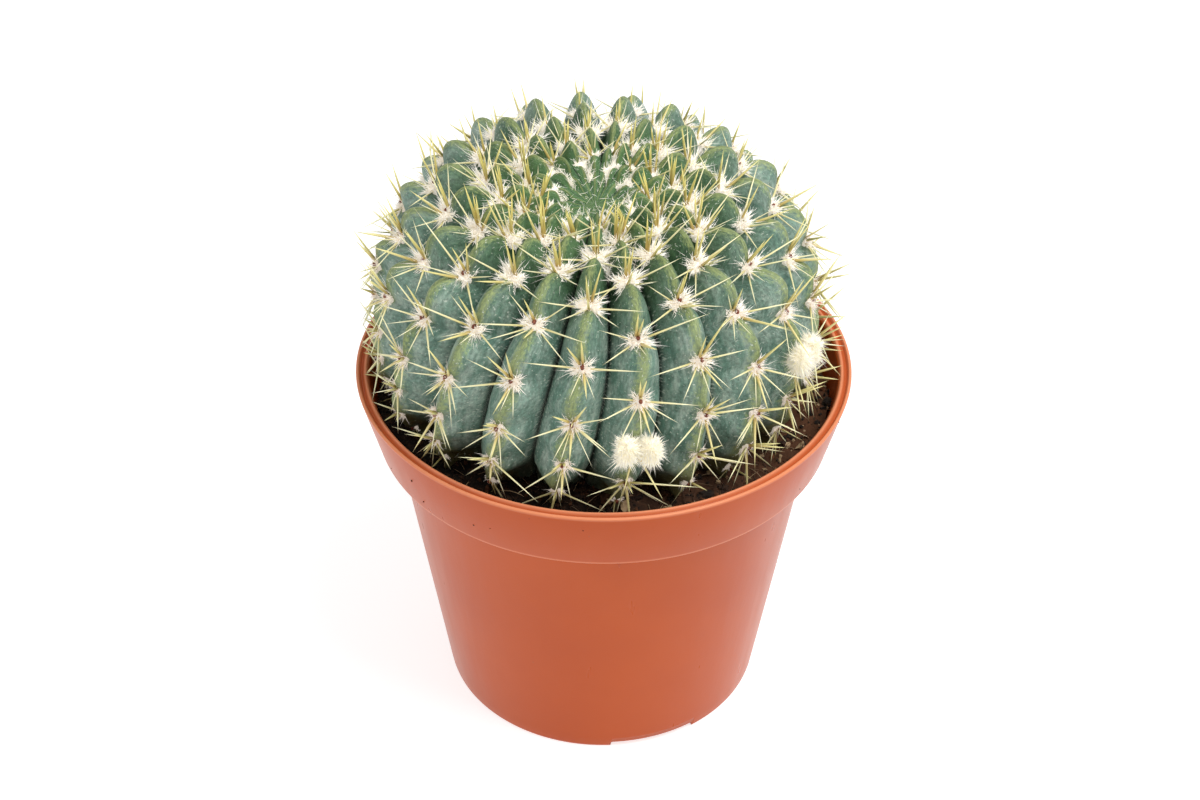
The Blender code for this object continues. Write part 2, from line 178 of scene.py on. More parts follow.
def copies(template, count):
    """A mesh of so many copies of a small shape, and its points by copy."""
    mesh = bpy.data.meshes.new("template")
    template.to_mesh(mesh)
    template.free()
    holder = bpy.data.objects.new("template", mesh)
    bpy.context.scene.collection.objects.link(holder)
    array = holder.modifiers.new("many", "ARRAY")
    array.use_relative_offset = False
    array.count = count
    made = applied(holder)
    bpy.data.objects.remove(holder)
    local = np.empty(len(made.vertices) * 3)
    made.vertices.foreach_get("co", local)
    return made, local.reshape(count, -1, 3)


def balls(subdivisions, count, dents=0.0):
    """Copies of a little ball of radius 1, dented at random, and their points by copy."""
    ball = bmesh.new()
    bmesh.ops.create_icosphere(ball, subdivisions=subdivisions, radius=1.0)
    mesh, local = copies(ball, count)
    if dents:
        local = local * (1 + dents * chance.normal(size=(count, local.shape[1], 1)))
    return mesh, local


def object_from_copies(name, mesh, points, finish, rounded_look=True):
    """The object, once its copies' points have their places."""
    mesh.vertices.foreach_set("co", points.reshape(-1))
    if rounded_look:
        mesh.shade_smooth()
    else:
        mesh.shade_flat()
    mesh.update()
    print(name, len(points), "copies,", len(mesh.polygons), "faces")
    return object_from(name, mesh, finish)


def give(mesh, name, values, shape):
    """Stores a number per point for a material to read, from numbers that fit the shape (copy, point)."""
    spread = np.broadcast_to(values, shape).astype(np.float32)
    mesh.attributes.new(name, "FLOAT", "POINT").data.foreach_set("value", spread.reshape(-1))


# %% [markdown]
# A hair or a spine needs a direction, a length, a thickness and a bend. Its template runs along +Z from 0 to
# 1, so the height of a point is also its share of the way to the tip. The bend grows with the square of that
# share, as a springy rod bends, and the share is stored for the materials, which fade from root to tip.

# %% Needles and hairs


def across_of(ahead):
    """Two directions square to each of these."""
    helper = np.where(np.abs(ahead[:, 2:3]) < 0.9, [[0.0, 0.0, 1.0]], [[1.0, 0.0, 0.0]])
    side = np.cross(ahead, helper)
    side /= np.linalg.norm(side, axis=1, keepdims=True)
    return side, np.cross(ahead, side)


def random_directions(count):
    made = chance.normal(size=(count, 3))
    return made / np.linalg.norm(made, axis=1, keepdims=True)


BOX_MARGIN = 0.4 * MM


def needles(name, template, roots, ahead, lengths, widths, finish, bends, tints=None):
    """Plants tapered shapes. The template is 1 in radius and runs along +Z from 0 to 1."""
    count = len(roots)
    ahead = ahead / np.linalg.norm(ahead, axis=1, keepdims=True)
    lengths = np.reshape(lengths, (-1, 1))
    lowest, highest = np.array(solid_box[0]) + BOX_MARGIN, np.array(solid_box[1]) - BOX_MARGIN
    share = np.ones((count, 1))
    for _ in range(20):  # one that would stick out past the solids is grown shorter
        tips = roots + share * (ahead * lengths + bends)
        share[((tips < lowest) | (tips > highest)).any(axis=1)] *= 0.9
    mesh, local = copies(template, count)
    side, other = across_of(ahead)
    x, y, z = (local[:, :, axis, None] for axis in range(3))
    width = np.reshape(widths, (-1, 1, 1))
    points = roots[:, None] + (side[:, None] * x + other[:, None] * y) * width
    points = points + ahead[:, None] * z * (lengths * share)[:, None] + (bends * share)[:, None] * z**2
    give(mesh, "along", z[:, :, 0], z.shape[:2])
    give(mesh, "tint", (chance.random(count) if tints is None else tints)[:, None], z.shape[:2])
    return object_from_copies(name, mesh, points, finish)


def smooth(x):
    """An even ease from 0 to 1 as x goes from 0 to 1, for whatever swells, fades or tapers on the plant."""
    x = np.clip(x, 0.0, 1.0)
    return x * x * (3.0 - 2.0 * x)


# %% [markdown]
# ## The pot
# A nursery pot is injection-moulded polypropylene: a thin tapered wall under a wide collar, which stiffens
# the rim and lets pots stack. The mould leaves soft edges, a groove round the top of the rim, a notched foot
# ring so that water can leave, and drain holes. Its main sizes come first, and two functions give the wall's
# radius outside and inside at any height, because the peat has to fit the same wall later.

# %% The pot's sizes
POT_HEIGHT = 92.8 * MM
RIM_RADIUS = 60.0 * MM
RIM_LAND = 3.3 * MM
COLLAR_FOOT = POT_HEIGHT - 17.2 * MM
COLLAR_FOOT_RADIUS = 55.6 * MM
WALL_TOP_RADIUS = 51.6 * MM
FOOT_RADIUS = 40.1 * MM
FOOT_WIDTH = 3.4 * MM
WALL = 1.4 * MM
LEDGE = COLLAR_FOOT + 2.0 * MM
FLOOR_LOW = 3.0 * MM
FLOOR_TOP = 4.6 * MM


def wall_radius(height):
    return FOOT_RADIUS + (WALL_TOP_RADIUS - FOOT_RADIUS) * height / COLLAR_FOOT


def inside_radius(height):
    if height < LEDGE:
        return wall_radius(height) - WALL
    low = COLLAR_FOOT_RADIUS - WALL
    return low + (RIM_RADIUS - RIM_LAND - low) * (height - LEDGE) / (POT_HEIGHT - LEDGE)


print("rim", 2 * RIM_RADIUS / MM, "mm wide, foot", 2 * FOOT_RADIUS / MM, "mm wide")

# %% [markdown]
# One profile holds the whole cross-section, from the middle of the underside, up the outside, over the rim
# and down the inside. Bevelling the finished pot would round its edges too, but the rim's two ridges are
# closer together than a bevel can take, so every corner of the profile says how far it is rounded.

# %% The pot's profile


def corner(before, point, after, size, steps=4):
    """Points that round a corner of a profile off, over a given size along each side."""
    before, point, after = Vector(before), Vector(point), Vector(after)
    start = point + (before - point).normalized() * size
    end = point + (after - point).normalized() * size
    shares = [step / steps for step in range(steps + 1)]
    return [tuple(start * (1 - t) ** 2 + point * 2 * t * (1 - t) + end * t**2) for t in shares]


def rounded(points):
    """A profile of (radius, height, rounding) with its corners rounded."""
    made = []
    for index, (radius, height, size) in enumerate(points):
        if size:
            made += corner(points[index - 1][:2], (radius, height), points[index + 1][:2], size)
        else:
            made.append((radius, height))
    return made


inner_rim = RIM_RADIUS - RIM_LAND
pot_profile = rounded([
    (0.0, FLOOR_LOW, 0),
    (FOOT_RADIUS - FOOT_WIDTH - 0.7 * MM, FLOOR_LOW, 0.3 * MM),
    (FOOT_RADIUS - FOOT_WIDTH, 0.0, 0.4 * MM),
    (FOOT_RADIUS, 0.0, 0.9 * MM),
    (wall_radius(4.0 * MM), 4.0 * MM, 0.5 * MM),
    (WALL_TOP_RADIUS - 0.1 * MM, COLLAR_FOOT + 0.3 * MM, 0.5 * MM),
    (COLLAR_FOOT_RADIUS, COLLAR_FOOT, 0.45 * MM),
    # the outer ridge of the rim, the groove beside it and the inner ridge
    (RIM_RADIUS, POT_HEIGHT - 0.2 * MM, 0.35 * MM),
    (RIM_RADIUS - 0.7 * MM, POT_HEIGHT, 0.2 * MM),
    (RIM_RADIUS - 1.2 * MM, POT_HEIGHT - 0.9 * MM, 0.2 * MM),
    (RIM_RADIUS - 1.7 * MM, POT_HEIGHT - 0.9 * MM, 0.2 * MM),
    (RIM_RADIUS - 2.2 * MM, POT_HEIGHT - 0.1 * MM, 0.2 * MM),
    (RIM_RADIUS - 2.7 * MM, POT_HEIGHT - 0.2 * MM, 0.2 * MM),
    (inner_rim, POT_HEIGHT - 1.2 * MM, 0.2 * MM),
    (inner_rim - 0.15 * MM, POT_HEIGHT - 2.0 * MM, 0.3 * MM),
    (inside_radius(LEDGE), LEDGE, 0.5 * MM),
    (inside_radius(LEDGE - 0.6 * MM), LEDGE - 0.6 * MM, 0.4 * MM),
    (inside_radius(FLOOR_TOP), FLOOR_TOP, 1.2 * MM),
    (0.0, FLOOR_TOP, 0),
])
print("pot profile:", len(pot_profile), "points")

# %% [markdown]
# Polypropylene that is injection-moulded has a satin face: the mould's polish shows as a broad soft sheen,
# and thin upright streaks, where the plastic flowed, make the sheen a little uneven. The colour hardly
# varies, because the pigment goes all the way through. The IOR of polypropylene is 1.49, and it is set lower
# here, because dust and fine scratches dull the real gloss. The ridges of the rim and the edge of the collar
# get a painted highlight, a paler colour where they catch the light, and specks of dust sit on the wall. An
# even colour with one roughness would look like a toy, so each of these is a layer, mixed over the last by
# its own mask.

# %% Polypropylene, injection moulded
pot_plastic, tree, shader = new_material("satin_polypropylene", 0.3, 1.31)
place = node(tree, "ShaderNodeTexCoord").outputs["Object"]
# clouds of colour about 36 mm across
cloud_size = {"Scale": 0.028 / MM, "Detail": 4.0, "Roughness": 0.55}
clouds = node(tree, "ShaderNodeTexNoise", {"Vector": place, **cloud_size})
shade = node(tree, "ShaderNodeMapRange", {"Value": clouds, "From Min": 0.35, "From Max": 0.65})
body_colour = node(
    tree, "ShaderNodeMix", {"Factor": shade, "A": colour("#AE4608"), "B": colour("#B44B0C")}, data_type="RGBA"
)
# flow streaks about 4 mm wide and 40 mm tall
flow_space = node(tree, "ShaderNodeMapping", {"Vector": place, "Scale": (0.26 / MM, 0.26 / MM, 0.024 / MM)})
flow = node(tree, "ShaderNodeTexNoise", {"Vector": flow_space, "Scale": 1.0, "Detail": 3.0})
# dust in specks of a few tenths of a millimetre, from the highest peaks of a noise 1.1 mm wide
dust_space = node(tree, "ShaderNodeMapping", {"Vector": place, "Scale": (0.9 / MM, 0.9 / MM, 0.7 / MM)})
dust = node(tree, "ShaderNodeTexNoise", {"Vector": dust_space, "Scale": 1.0, "Detail": 2.0})
dust_specks = node(tree, "ShaderNodeMapRange", {"Value": dust, "From Min": 0.76, "From Max": 0.80})
dusty = node(
    tree, "ShaderNodeMix", {"Factor": dust_specks, "A": body_colour, "B": colour("#8A5438")}, data_type="RGBA"
)
# painted highlights: a paler colour on the rim's ridges, and a paler line where the collar's foot turns under
level = node(tree, "ShaderNodeSeparateXYZ", {"Vector": place}).outputs["Z"]
ridge_heights = {"From Min": POT_HEIGHT - 1.0 * MM, "From Max": POT_HEIGHT - 0.1 * MM}
ridge_highlight = node(tree, "ShaderNodeMapRange", {"Value": level, **ridge_heights, "To Max": 0.85})
over_edge = node(tree, "ShaderNodeMath", {0: level, 1: COLLAR_FOOT + 0.45 * MM}, operation="SUBTRACT")
off_edge = node(tree, "ShaderNodeMath", {0: over_edge}, operation="ABSOLUTE")
edge_width = {"From Min": 0.5 * MM, "From Max": 0.1 * MM}
edge_highlight = node(tree, "ShaderNodeMapRange", {"Value": off_edge, **edge_width, "To Max": 0.4})
painted_highlight = node(tree, "ShaderNodeMath", {0: ridge_highlight, 1: edge_highlight}, operation="MAXIMUM")
highlighted = node(tree, "ShaderNodeMix", {"Factor": painted_highlight, "A": dusty, "B": colour("#E4926A")}, data_type="RGBA")
# the sheen and the relief follow the flow, and a fine grain of 0.6 mm breaks them up
gloss = node(tree, "ShaderNodeMapRange", {"Value": flow, "To Min": 0.24, "To Max": 0.36})
grain = node(tree, "ShaderNodeTexNoise", {"Vector": place, "Scale": 1.6 / MM, "Detail": 2.0})
wave = node(tree, "ShaderNodeBump", {"Height": flow, "Strength": 0.08, "Distance": 0.4 * MM})
grain_relief = {"Height": grain, "Strength": 0.1, "Distance": 0.1 * MM}
relief = node(tree, "ShaderNodeBump", {**grain_relief, "Normal": wave})
feed(shader, {"Base Color": highlighted, "Roughness": gloss, "Normal": relief})
print("polypropylene:", len(tree.nodes), "nodes")

# %% [markdown]
# The profile gives all but the notches in the foot ring and the drain holes in the floor. They could be cut
# face by face, but a Boolean with a few plain cutters does it in one step and leaves clean edges. The spin
# has 180 steps, so that the rim's outline is smooth up close.

# %% The moulded pot
NOTCHES = 3
NOTCH_AZIMUTH = math.radians(19.3)
NOTCH_SIZE = (22 * MM, 10 * MM, 3.6 * MM, 1)
DRAIN_HOLES = 6
DRAIN_RADIUS = 4 * MM
DRAIN_CIRCLE = 24 * MM

pot = object_from_bmesh("pot_moulding", turned(pot_profile, 180), pot_plastic, 30)
cutters = bmesh.new()
for index in range(NOTCHES):
    turn = Matrix.Rotation(NOTCH_AZIMUTH + index * math.tau / NOTCHES, 4, "Z")
    spot = turn @ Matrix.Translation((0, -FOOT_RADIUS + FOOT_WIDTH / 2, 0))
    made = bmesh.ops.create_cube(cutters, size=1.0, matrix=spot @ Matrix.Diagonal(NOTCH_SIZE))
    edges = list(dict.fromkeys(edge for vert in made["verts"] for edge in vert.link_edges))
    bmesh.ops.bevel(
        cutters, geom=edges, offset=0.5 * MM, segments=2, affect="EDGES", profile=0.5, material=-1
    )
for index in range(DRAIN_HOLES):
    turn = Matrix.Rotation((index + 0.5) * math.tau / DRAIN_HOLES, 4, "Z")
    spot = turn @ Matrix.Translation((DRAIN_CIRCLE, 0, (FLOOR_LOW + FLOOR_TOP) / 2))
    bmesh.ops.create_cone(
        cutters, cap_ends=True, segments=32, depth=5 * MM, matrix=spot,
        radius1=DRAIN_RADIUS, radius2=DRAIN_RADIUS,
    )
cutter = object_from_bmesh("pot_cutter", cutters, pot_plastic)
cut = pot.modifiers.new("notches_and_drains", "BOOLEAN")
cut.operation = "DIFFERENCE"
cut.solver = "EXACT"
cut.object = cutter
cut_mesh = applied(pot)
pot.modifiers.clear()
pot.data = cut_mesh
bpy.data.objects.remove(cutter)
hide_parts("pot")
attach(pot, "root")
print("pot:", len(pot.data.polygons), "faces")

# %% [markdown]
# Hot plastic enters the mould through a gate, and where it is broken off a thin sliver stays, here upright on
# the wall under the collar. It is a ball that is squashed until only a ridge of it stands out of the wall.

# %% The gate mark
GATE_HEIGHT = 72.6 * MM
GATE_SIZE = (0.16 * MM, 0.22 * MM, 2.2 * MM, 1)
sliver = bmesh.new()
gate_turn = Matrix.Rotation(math.radians(4.3), 4, "Z")
gate_spot = gate_turn @ Matrix.Translation((0, -wall_radius(GATE_HEIGHT), GATE_HEIGHT))
bmesh.ops.create_icosphere(
    sliver, subdivisions=3, radius=1.0, matrix=gate_spot @ Matrix.Diagonal(GATE_SIZE)
)
gate_mark = object_from_bmesh("pot_gate_mark", sliver, pot_plastic)
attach(gate_mark, "root")
print("gate mark:", len(gate_mark.data.polygons), "faces")

# %% [markdown]
# ## The stem
# The stem is a flattened globe with 21 ribs, and its axis leans to the front, as on many window-grown plants.
# Along each rib's crest sits a row of areoles, the cushions that bear wool and spines. It could be sculpted,
# but 21 ribs with eight or nine areoles each are more even from a formula. So the globe's outline comes
# first: a crown above the widest place, a skirt below it, and a dip at the apex, measured as a distance along
# the skin.

# %% The globe's outline
LEAN = math.radians(9.3)
PIVOT = Vector((-2.2, 1.0, 100.0)) * MM
GIRTH = 51.8 * MM
GIRTH_HEIGHT = 106.0 * MM
CROWN = 39.9 * MM
CROWN_POWER = 2.69
SKIRT = 60.0 * MM
SKIRT_POWER = 2.2
APEX_DIP = 5.2 * MM
APEX_DIP_RADIUS = 14.0 * MM
SOIL_TOP = 82.8 * MM


def globe_outline(samples=500):
    """(arc, radius, height) along the line of areoles, from the apex down."""
    turn = np.linspace(0.0, math.pi / 2, samples)
    radius = GIRTH * np.sin(turn) ** (2 / CROWN_POWER)
    height = GIRTH_HEIGHT + CROWN * np.clip(np.cos(turn), 0, 1) ** (2 / CROWN_POWER)
    height -= APEX_DIP * (1 - smooth(radius / APEX_DIP_RADIUS))
    drop = np.linspace(0.0, 0.9 * SKIRT, samples)[1:]
    radius = np.concatenate((radius, GIRTH * (1 - (drop / SKIRT) ** SKIRT_POWER) ** (1 / SKIRT_POWER)))
    height = np.concatenate((height, GIRTH_HEIGHT - drop))
    arc = np.concatenate(([0.0], np.cumsum(np.hypot(np.diff(radius), np.diff(height)))))
    return arc, radius, height


OUTLINE = globe_outline()


def on_outline(arc):
    return np.interp(arc, OUTLINE[0], OUTLINE[1]), np.interp(arc, OUTLINE[0], OUTLINE[2])


print("outline:", round(float(OUTLINE[0][-1]) / MM, 1), "mm from apex to skirt")

# %% [markdown]
# The areoles of a rib stand some 14 mm apart on the plant's shoulder, a little closer lower down, and closer
# and closer towards the apex, where new ones form. A plant sets its new areoles a golden share of a turn
# apart, so the row of each rib is shifted against its neighbour's. Two functions turn the number of an areole
# into its place and back.

# %% The rows of areoles
RIBS = 21
RIBS_PER_SHIFT = 13  # with 21 ribs, the whole number closest to the golden share
CREST_AZIMUTH = math.radians(10.0)  # where the first rib's crest is at the crest height
CREST_HEIGHT = 115.0 * MM
TWIST = math.radians(0.181) / MM  # how far the ribs turn as they rise
FIRST_ARC = 24.9 * MM
AREOLE_STEP = 15.9 * MM
AREOLE_STEP_LOSS = 0.7 * MM


def areole_phase(rib):
    """How far down its rib, in areole steps, a rib's row of areoles is shifted."""
    turn = math.tau * rib / RIBS
    # the plant isn't quite even: its rows start a little further down at the back
    late = 0.15 * (1 - np.cos(turn)) - 0.06 * np.sin(turn)
    return (0.2 + rib * RIBS_PER_SHIFT / RIBS + late) % 1.0


# above this number the steps shorten slowly, and below it each is the same share shorter than the last
GROWN_NUMBER = 0.6
GROWN_ARC = FIRST_ARC + AREOLE_STEP * GROWN_NUMBER - AREOLE_STEP_LOSS * GROWN_NUMBER**2
GROWN_STEP = AREOLE_STEP - 2 * AREOLE_STEP_LOSS * GROWN_NUMBER
CENTRE_ARC = -6.0 * MM  # new areoles crowd towards this point, a little beyond the apex
CROWDING = GROWN_STEP / (GROWN_ARC - CENTRE_ARC)


def areole_arc(number):
    """How far from the apex an areole sits."""
    grown = FIRST_ARC + AREOLE_STEP * number - AREOLE_STEP_LOSS * number**2
    steps_back = np.minimum(number, GROWN_NUMBER) - GROWN_NUMBER
    new = CENTRE_ARC + (GROWN_ARC - CENTRE_ARC) * np.exp(CROWDING * steps_back)
    return np.where(number > GROWN_NUMBER, grown, new)


def areole_number(arc):
    """The inverse of areole_arc."""
    inside = AREOLE_STEP**2 - 4 * AREOLE_STEP_LOSS * (arc - FIRST_ARC)
    grown = (AREOLE_STEP - np.sqrt(np.maximum(inside, 0))) / (2 * AREOLE_STEP_LOSS)
    share = np.clip((arc - CENTRE_ARC) / (GROWN_ARC - CENTRE_ARC), 0.02, 1)
    return np.where(arc > GROWN_ARC, grown, GROWN_NUMBER + np.log(share) / CROWDING)


first_rib = areole_arc(np.arange(-1, 7) + areole_phase(0)) / MM
print("areoles of rib 0, mm from the apex:", np.round(first_rib, 1))

# %% [markdown]
# One function then gives every point of the skin from its rib, its place across the rib and its distance from
# the apex. It starts on the outline and moves each point out of the skin or into it: the crest swells into a
# fin between two areoles, the groove sinks in with a sharp crease at its bottom, and near the soil the
# grooves draw in so that each rib stands on a narrow foot. At the apex the ribs are small, uneven and joined
# in pairs. First come the sizes of these forms, and the functions that say where each of them begins and
# ends.

# %% The sizes of the ribs
GROOVE = 7.8 * MM
FOLD = 0.9 * MM  # the sharp crease at the bottom of a groove
BUMP = 4.2 * MM  # how far the crest swells out between two areoles
NOTCH = 2.6 * MM  # how deep the upper areoles sit between two fins
UNEVENNESS = 0.8 * MM
WAVINESS = 0.25 * MM
FOOT_DRAW_IN = 3.0 * MM


def fade_in(arc, start, length):
    """0 nearer to the apex than the start, and 1 beyond the length after it, both in millimetres."""
    return smooth((arc - start * MM) / (length * MM))


def footing(radius, height, azimuth):
    """0 on the free stem, 1 at the soil, where the grooves draw in and leave each rib on a narrow foot."""
    level = PIVOT.z + math.cos(LEAN) * (height - PIVOT.z) - math.sin(LEAN) * radius * np.cos(azimuth)
    return smooth((SOIL_TOP + 13 * MM - level) / (12 * MM))


def round_the_axis(rib, across, arc, side, nearest, along, height):
    """A point's direction from the axis, and how far the uneven apex lifts it."""
    azimuth = CREST_AZIMUTH + (rib + across) * math.tau / RIBS + TWIST * (height - CREST_HEIGHT)
    uneven = 0.07 * np.sin(3 * azimuth + 1.0) + 0.04 * np.sin(5 * azimuth + 2.2)
    lift = UNEVENNESS * np.sin(2 * azimuth + 0.5)
    near_apex = fade_in(arc, 0, 6) * (1 - fade_in(arc, 8, 24))
    wavy = 0.014 * (1 - side) * np.sin(math.tau * along + nearest * 1.3) * fade_in(arc, 20, 30)
    return azimuth + uneven * near_apex + wavy, lift * near_apex


print("groove", round(GROOVE / MM, 1), "mm deep, fins", round(BUMP / MM, 1), "mm high at the most")

# %% [markdown]
# The skin function puts these together. Two points of the outline, a little up and down the arc, give the
# direction that leads out of the skin. The groove, the crest, the flank between them and some small waves
# give the distance, and the point moves that far. The whole plant is made upright, which keeps the sums
# simple, and is then leaned over.

# %% The shape of the skin


def skin(rib, across, arc):
    """Points of the skin in the plant's own frame. across runs from a crest (0) to the next crest (1)."""
    radius, height = on_outline(arc)
    radius_up, height_up = on_outline(np.maximum(arc - 1.5 * MM, 0))
    radius_down, height_down = on_outline(arc + 1.5 * MM)
    out_radius, out_height = height_up - height_down, radius_down - radius_up
    size = np.hypot(out_radius, out_height)
    side = 2 * np.minimum(across, 1 - across)
    nearest = np.where(across < 0.5, rib, rib + 1) % RIBS
    along = areole_number(arc) - areole_phase(nearest)
    azimuth, lift = round_the_axis(rib, across, arc, side, nearest, along, height)
    foot = footing(radius, height, azimuth)
    # the groove: none at the apex, later between the two ribs of a pair, and deepest at the foot
    shared = np.where(rib % 2 == 1, fade_in(arc, 8, 13), 1.0)
    groove = GROOVE * fade_in(arc, 0, 27) * (1 - 0.1 * fade_in(arc, 40, 35) + 0.15 * foot) * shared
    # the crest: fins on the upper ribs, which flatten out lower down
    bump = BUMP * np.clip(arc / (25 * MM), 0, 1) ** 0.95
    bump = bump * fade_in(arc, 4, 7) * (1 - 0.6 * fade_in(arc, 34, 36))
    upper = fade_in(arc, 0, 17) * (1 - fade_in(arc, 34, 34))
    fin = np.abs(np.sin(math.pi * along)) ** 0.75
    crest = bump * fin - NOTCH * upper * (1 - fin)
    # the flank: a higher power keeps the crest broader, a lower one makes it narrow
    flank = side ** (1.16 + 0.7 * fin * upper - 0.84 * foot)
    fold = FOLD * smooth((side - 0.88) / 0.12) * fade_in(arc, 0, 25)
    waves = WAVINESS * np.sin(arc / (7.3 * MM) + nearest * 2.4) * fade_in(arc, 0, 40)
    out = crest * (1 - flank) - groove * flank - fold + waves + lift
    radius = radius - FOOT_DRAW_IN * foot + out_radius / size * out
    height = height + out_height / size * out
    return np.stack((radius * np.sin(azimuth), -radius * np.cos(azimuth), height), axis=-1)


lean = Matrix.Rotation(LEAN, 4, "X")
plant_frame = np.array(Matrix.Translation(PIVOT) @ lean @ Matrix.Translation((0, 0, -PIVOT.z)))


def in_world(points):
    """Points of the upright plant, leaned over with it."""
    return points @ plant_frame[:3, :3].T + plant_frame[:3, 3]


print("apex at", [round(float(value) / MM, 1) for value in in_world(skin(0.0, 0.0, 0.0))], "mm")

# %% [markdown]
# The skin of a cactus is a waxy epidermis. Old skin is blue-green under a pale bloom that rubs off in streaks
# along the rib, and young skin near the apex is fresh green. The crest stays olive with a ragged edge, and
# turns corky and stained near the soil, where shade is painted in too. The grooves carry painted shade and
# white specks. The colours could be painted, but the mesh can simply store how near the crest, how old and
# where on its rib each point is. The material reads these, so that the pattern follows the plant and not the
# room. First come its patterns, which are stretched along the rib, so each has one size across it and one
# along it.

# %% Waxy epidermis: its patterns
skin_finish, tree, shader = new_material("waxy_epidermis", 0.5, 1.44)
crest_share = node(tree, "ShaderNodeAttribute", attribute_name="crest").outputs["Fac"]
youth = node(tree, "ShaderNodeAttribute", attribute_name="youth").outputs["Fac"]
bloomy = node(tree, "ShaderNodeAttribute", attribute_name="bloom").outputs["Fac"]
near_foot = node(tree, "ShaderNodeAttribute", attribute_name="foot").outputs["Fac"]
rib_place = node(tree, "ShaderNodeAttribute", attribute_name="rib_place").outputs["Vector"]
# features per millimetre across and along the rib, then detail and roughness of the noise
SKIN_PATTERNS = {
    "streaks": (0.62, 0.15, 5.0, 0.6),  # 1.6 mm wide and 7 mm long
    "patches": (0.11, 0.06, 3.0, 0.5),  # 9 mm wide and 17 mm long
    "fine_streaks": (2.3, 0.42, 4.0, 0.65),  # 0.4 mm wide and 2.4 mm long
    "specks": (2.0, 1.5, 2.0, 0.5),  # 0.5 mm, coarser than real breathing pores, so that they show
    "mottle": (1.7, 1.2, 5.0, 0.7),  # 0.6 to 0.8 mm
}
patterns = {}
for name, (across_mm, along_mm, detail, rough) in SKIN_PATTERNS.items():
    stretch = (across_mm / MM, along_mm / MM, 1.0)
    stretched = node(tree, "ShaderNodeMapping", {"Vector": rib_place, "Scale": stretch})
    patterns[name] = node(
        tree, "ShaderNodeTexNoise", {"Vector": stretched, "Scale": 1.0, "Detail": detail, "Roughness": rough}
    )
print("skin patterns:", ", ".join(patterns))

# %% [markdown]
# Then the colours are laid over one another in the order in which they grew. The greens come first: a deep
# one where there is no bloom yet, which is also painted shade on the upper domes, a grey-green one under the
# bloom and a fresh one on the young part, each in a dark and a light tone for the patches. Over the
# grey-green the bloom lies in pale streaks.

# %% Waxy epidermis: its greens
streaks, mottle = patterns["streaks"], patterns["mottle"]
patch_range = {"Value": patterns["patches"], "From Min": 0.35, "From Max": 0.7}
bloom_patch = node(tree, "ShaderNodeMapRange", patch_range)
greens = {}
# the deep green is partly painted shade: it darkens the upper domes, where shadow falls between them
for name, dark, light in (
    ("deep", "#3F5F45", "#5E7D5D"),
    ("grown", "#587A6C", "#779486"),
    ("young", "#456A41", "#658C58"),
):
    two_greens = {"A": colour(dark), "B": colour(light)}
    greens[name] = node(tree, "ShaderNodeMix", {"Factor": bloom_patch, **two_greens}, data_type="RGBA")
old_skin = node(
    tree, "ShaderNodeMix", {"Factor": bloomy, "A": greens["deep"], "B": greens["grown"]}, data_type="RGBA"
)
bloom_all = node(tree, "ShaderNodeMapRange", {"Value": streaks, "From Min": 0.42, "From Max": 0.72})
bloom_streak = node(tree, "ShaderNodeMath", {0: bloom_all, 1: bloomy}, operation="MULTIPLY")
streaked = node(
    tree, "ShaderNodeMix", {"Factor": bloom_streak, "A": old_skin, "B": colour("#A6B6AA")}, data_type="RGBA"
)
# light and dark grains, and fine lines along the rib
mottle_range = {"Value": mottle, "From Min": 0.3, "From Max": 0.7}
mottled = node(tree, "ShaderNodeMapRange", {**mottle_range, "To Min": 0.6, "To Max": 1.4})
line_range = {"Value": patterns["fine_streaks"], "From Min": 0.35, "From Max": 0.65}
fine_line = node(tree, "ShaderNodeMapRange", {**line_range, "To Min": 0.82, "To Max": 1.16})
grain = node(tree, "ShaderNodeMath", {0: fine_line, 1: mottled}, operation="MULTIPLY")
bloomed = node(tree, "ShaderNodeVectorMath", {0: streaked, "Scale": grain}, operation="SCALE")
fresh_skin = node(tree, "ShaderNodeVectorMath", {0: greens["young"], "Scale": mottled}, operation="SCALE")
aged = node(tree, "ShaderNodeMix", {"Factor": youth, "A": bloomed, "B": fresh_skin}, data_type="RGBA")
print("greens:", ", ".join(greens))

# %% [markdown]
# Over the greens lie the olive crest, the stain and painted shade of the foot and its cork, the painted
# shade of the groove and, last, the white specks. Each has its own mask, made from the numbers that the mesh
# stores and, for a ragged edge, from a pattern. The waxy bloom scatters light and bare skin is glossier, so
# the streaks also set the roughness, and the mottle gives the pores their relief.

# %% Waxy epidermis: crest, foot and groove
# the olive crest, wider near the soil and ragged along its edge
ragged = node(tree, "ShaderNodeMapRange", {**mottle_range, "To Min": -0.16, "To Max": 0.16})
wide_crest = node(tree, "ShaderNodeMath", {0: near_foot, 1: 0.2, 2: crest_share}, operation="MULTIPLY_ADD")
ragged_crest = node(tree, "ShaderNodeMath", {0: wide_crest, 1: ragged}, operation="ADD")
crest_range = {"Value": ragged_crest, "From Min": 0.68, "From Max": 0.98}
on_crest = node(tree, "ShaderNodeMapRange", {**crest_range, "To Max": 0.85}, interpolation_type="SMOOTHSTEP")
crest_green = colour("#88945C")[:3]
crest_tone = node(tree, "ShaderNodeVectorMath", {0: crest_green, "Scale": grain}, operation="SCALE")
olive = node(tree, "ShaderNodeMix", {"Factor": on_crest, "A": aged, "B": crest_tone}, data_type="RGBA")
# the foot, darker near the soil with stain and painted shade, and its corky crest
stain_and_shade = node(tree, "ShaderNodeMath", {0: near_foot, 1: 0.75}, operation="MULTIPLY")
stained_and_shaded = node(tree, "ShaderNodeMix", {"Factor": stain_and_shade, "A": olive, "B": colour("#4C5238")}, data_type="RGBA")
corky = node(tree, "ShaderNodeMath", {0: on_crest, 1: near_foot}, operation="MULTIPLY")
corked = node(
    tree, "ShaderNodeMix", {"Factor": corky, "A": stained_and_shaded, "B": colour("#66603A")}, data_type="RGBA"
)
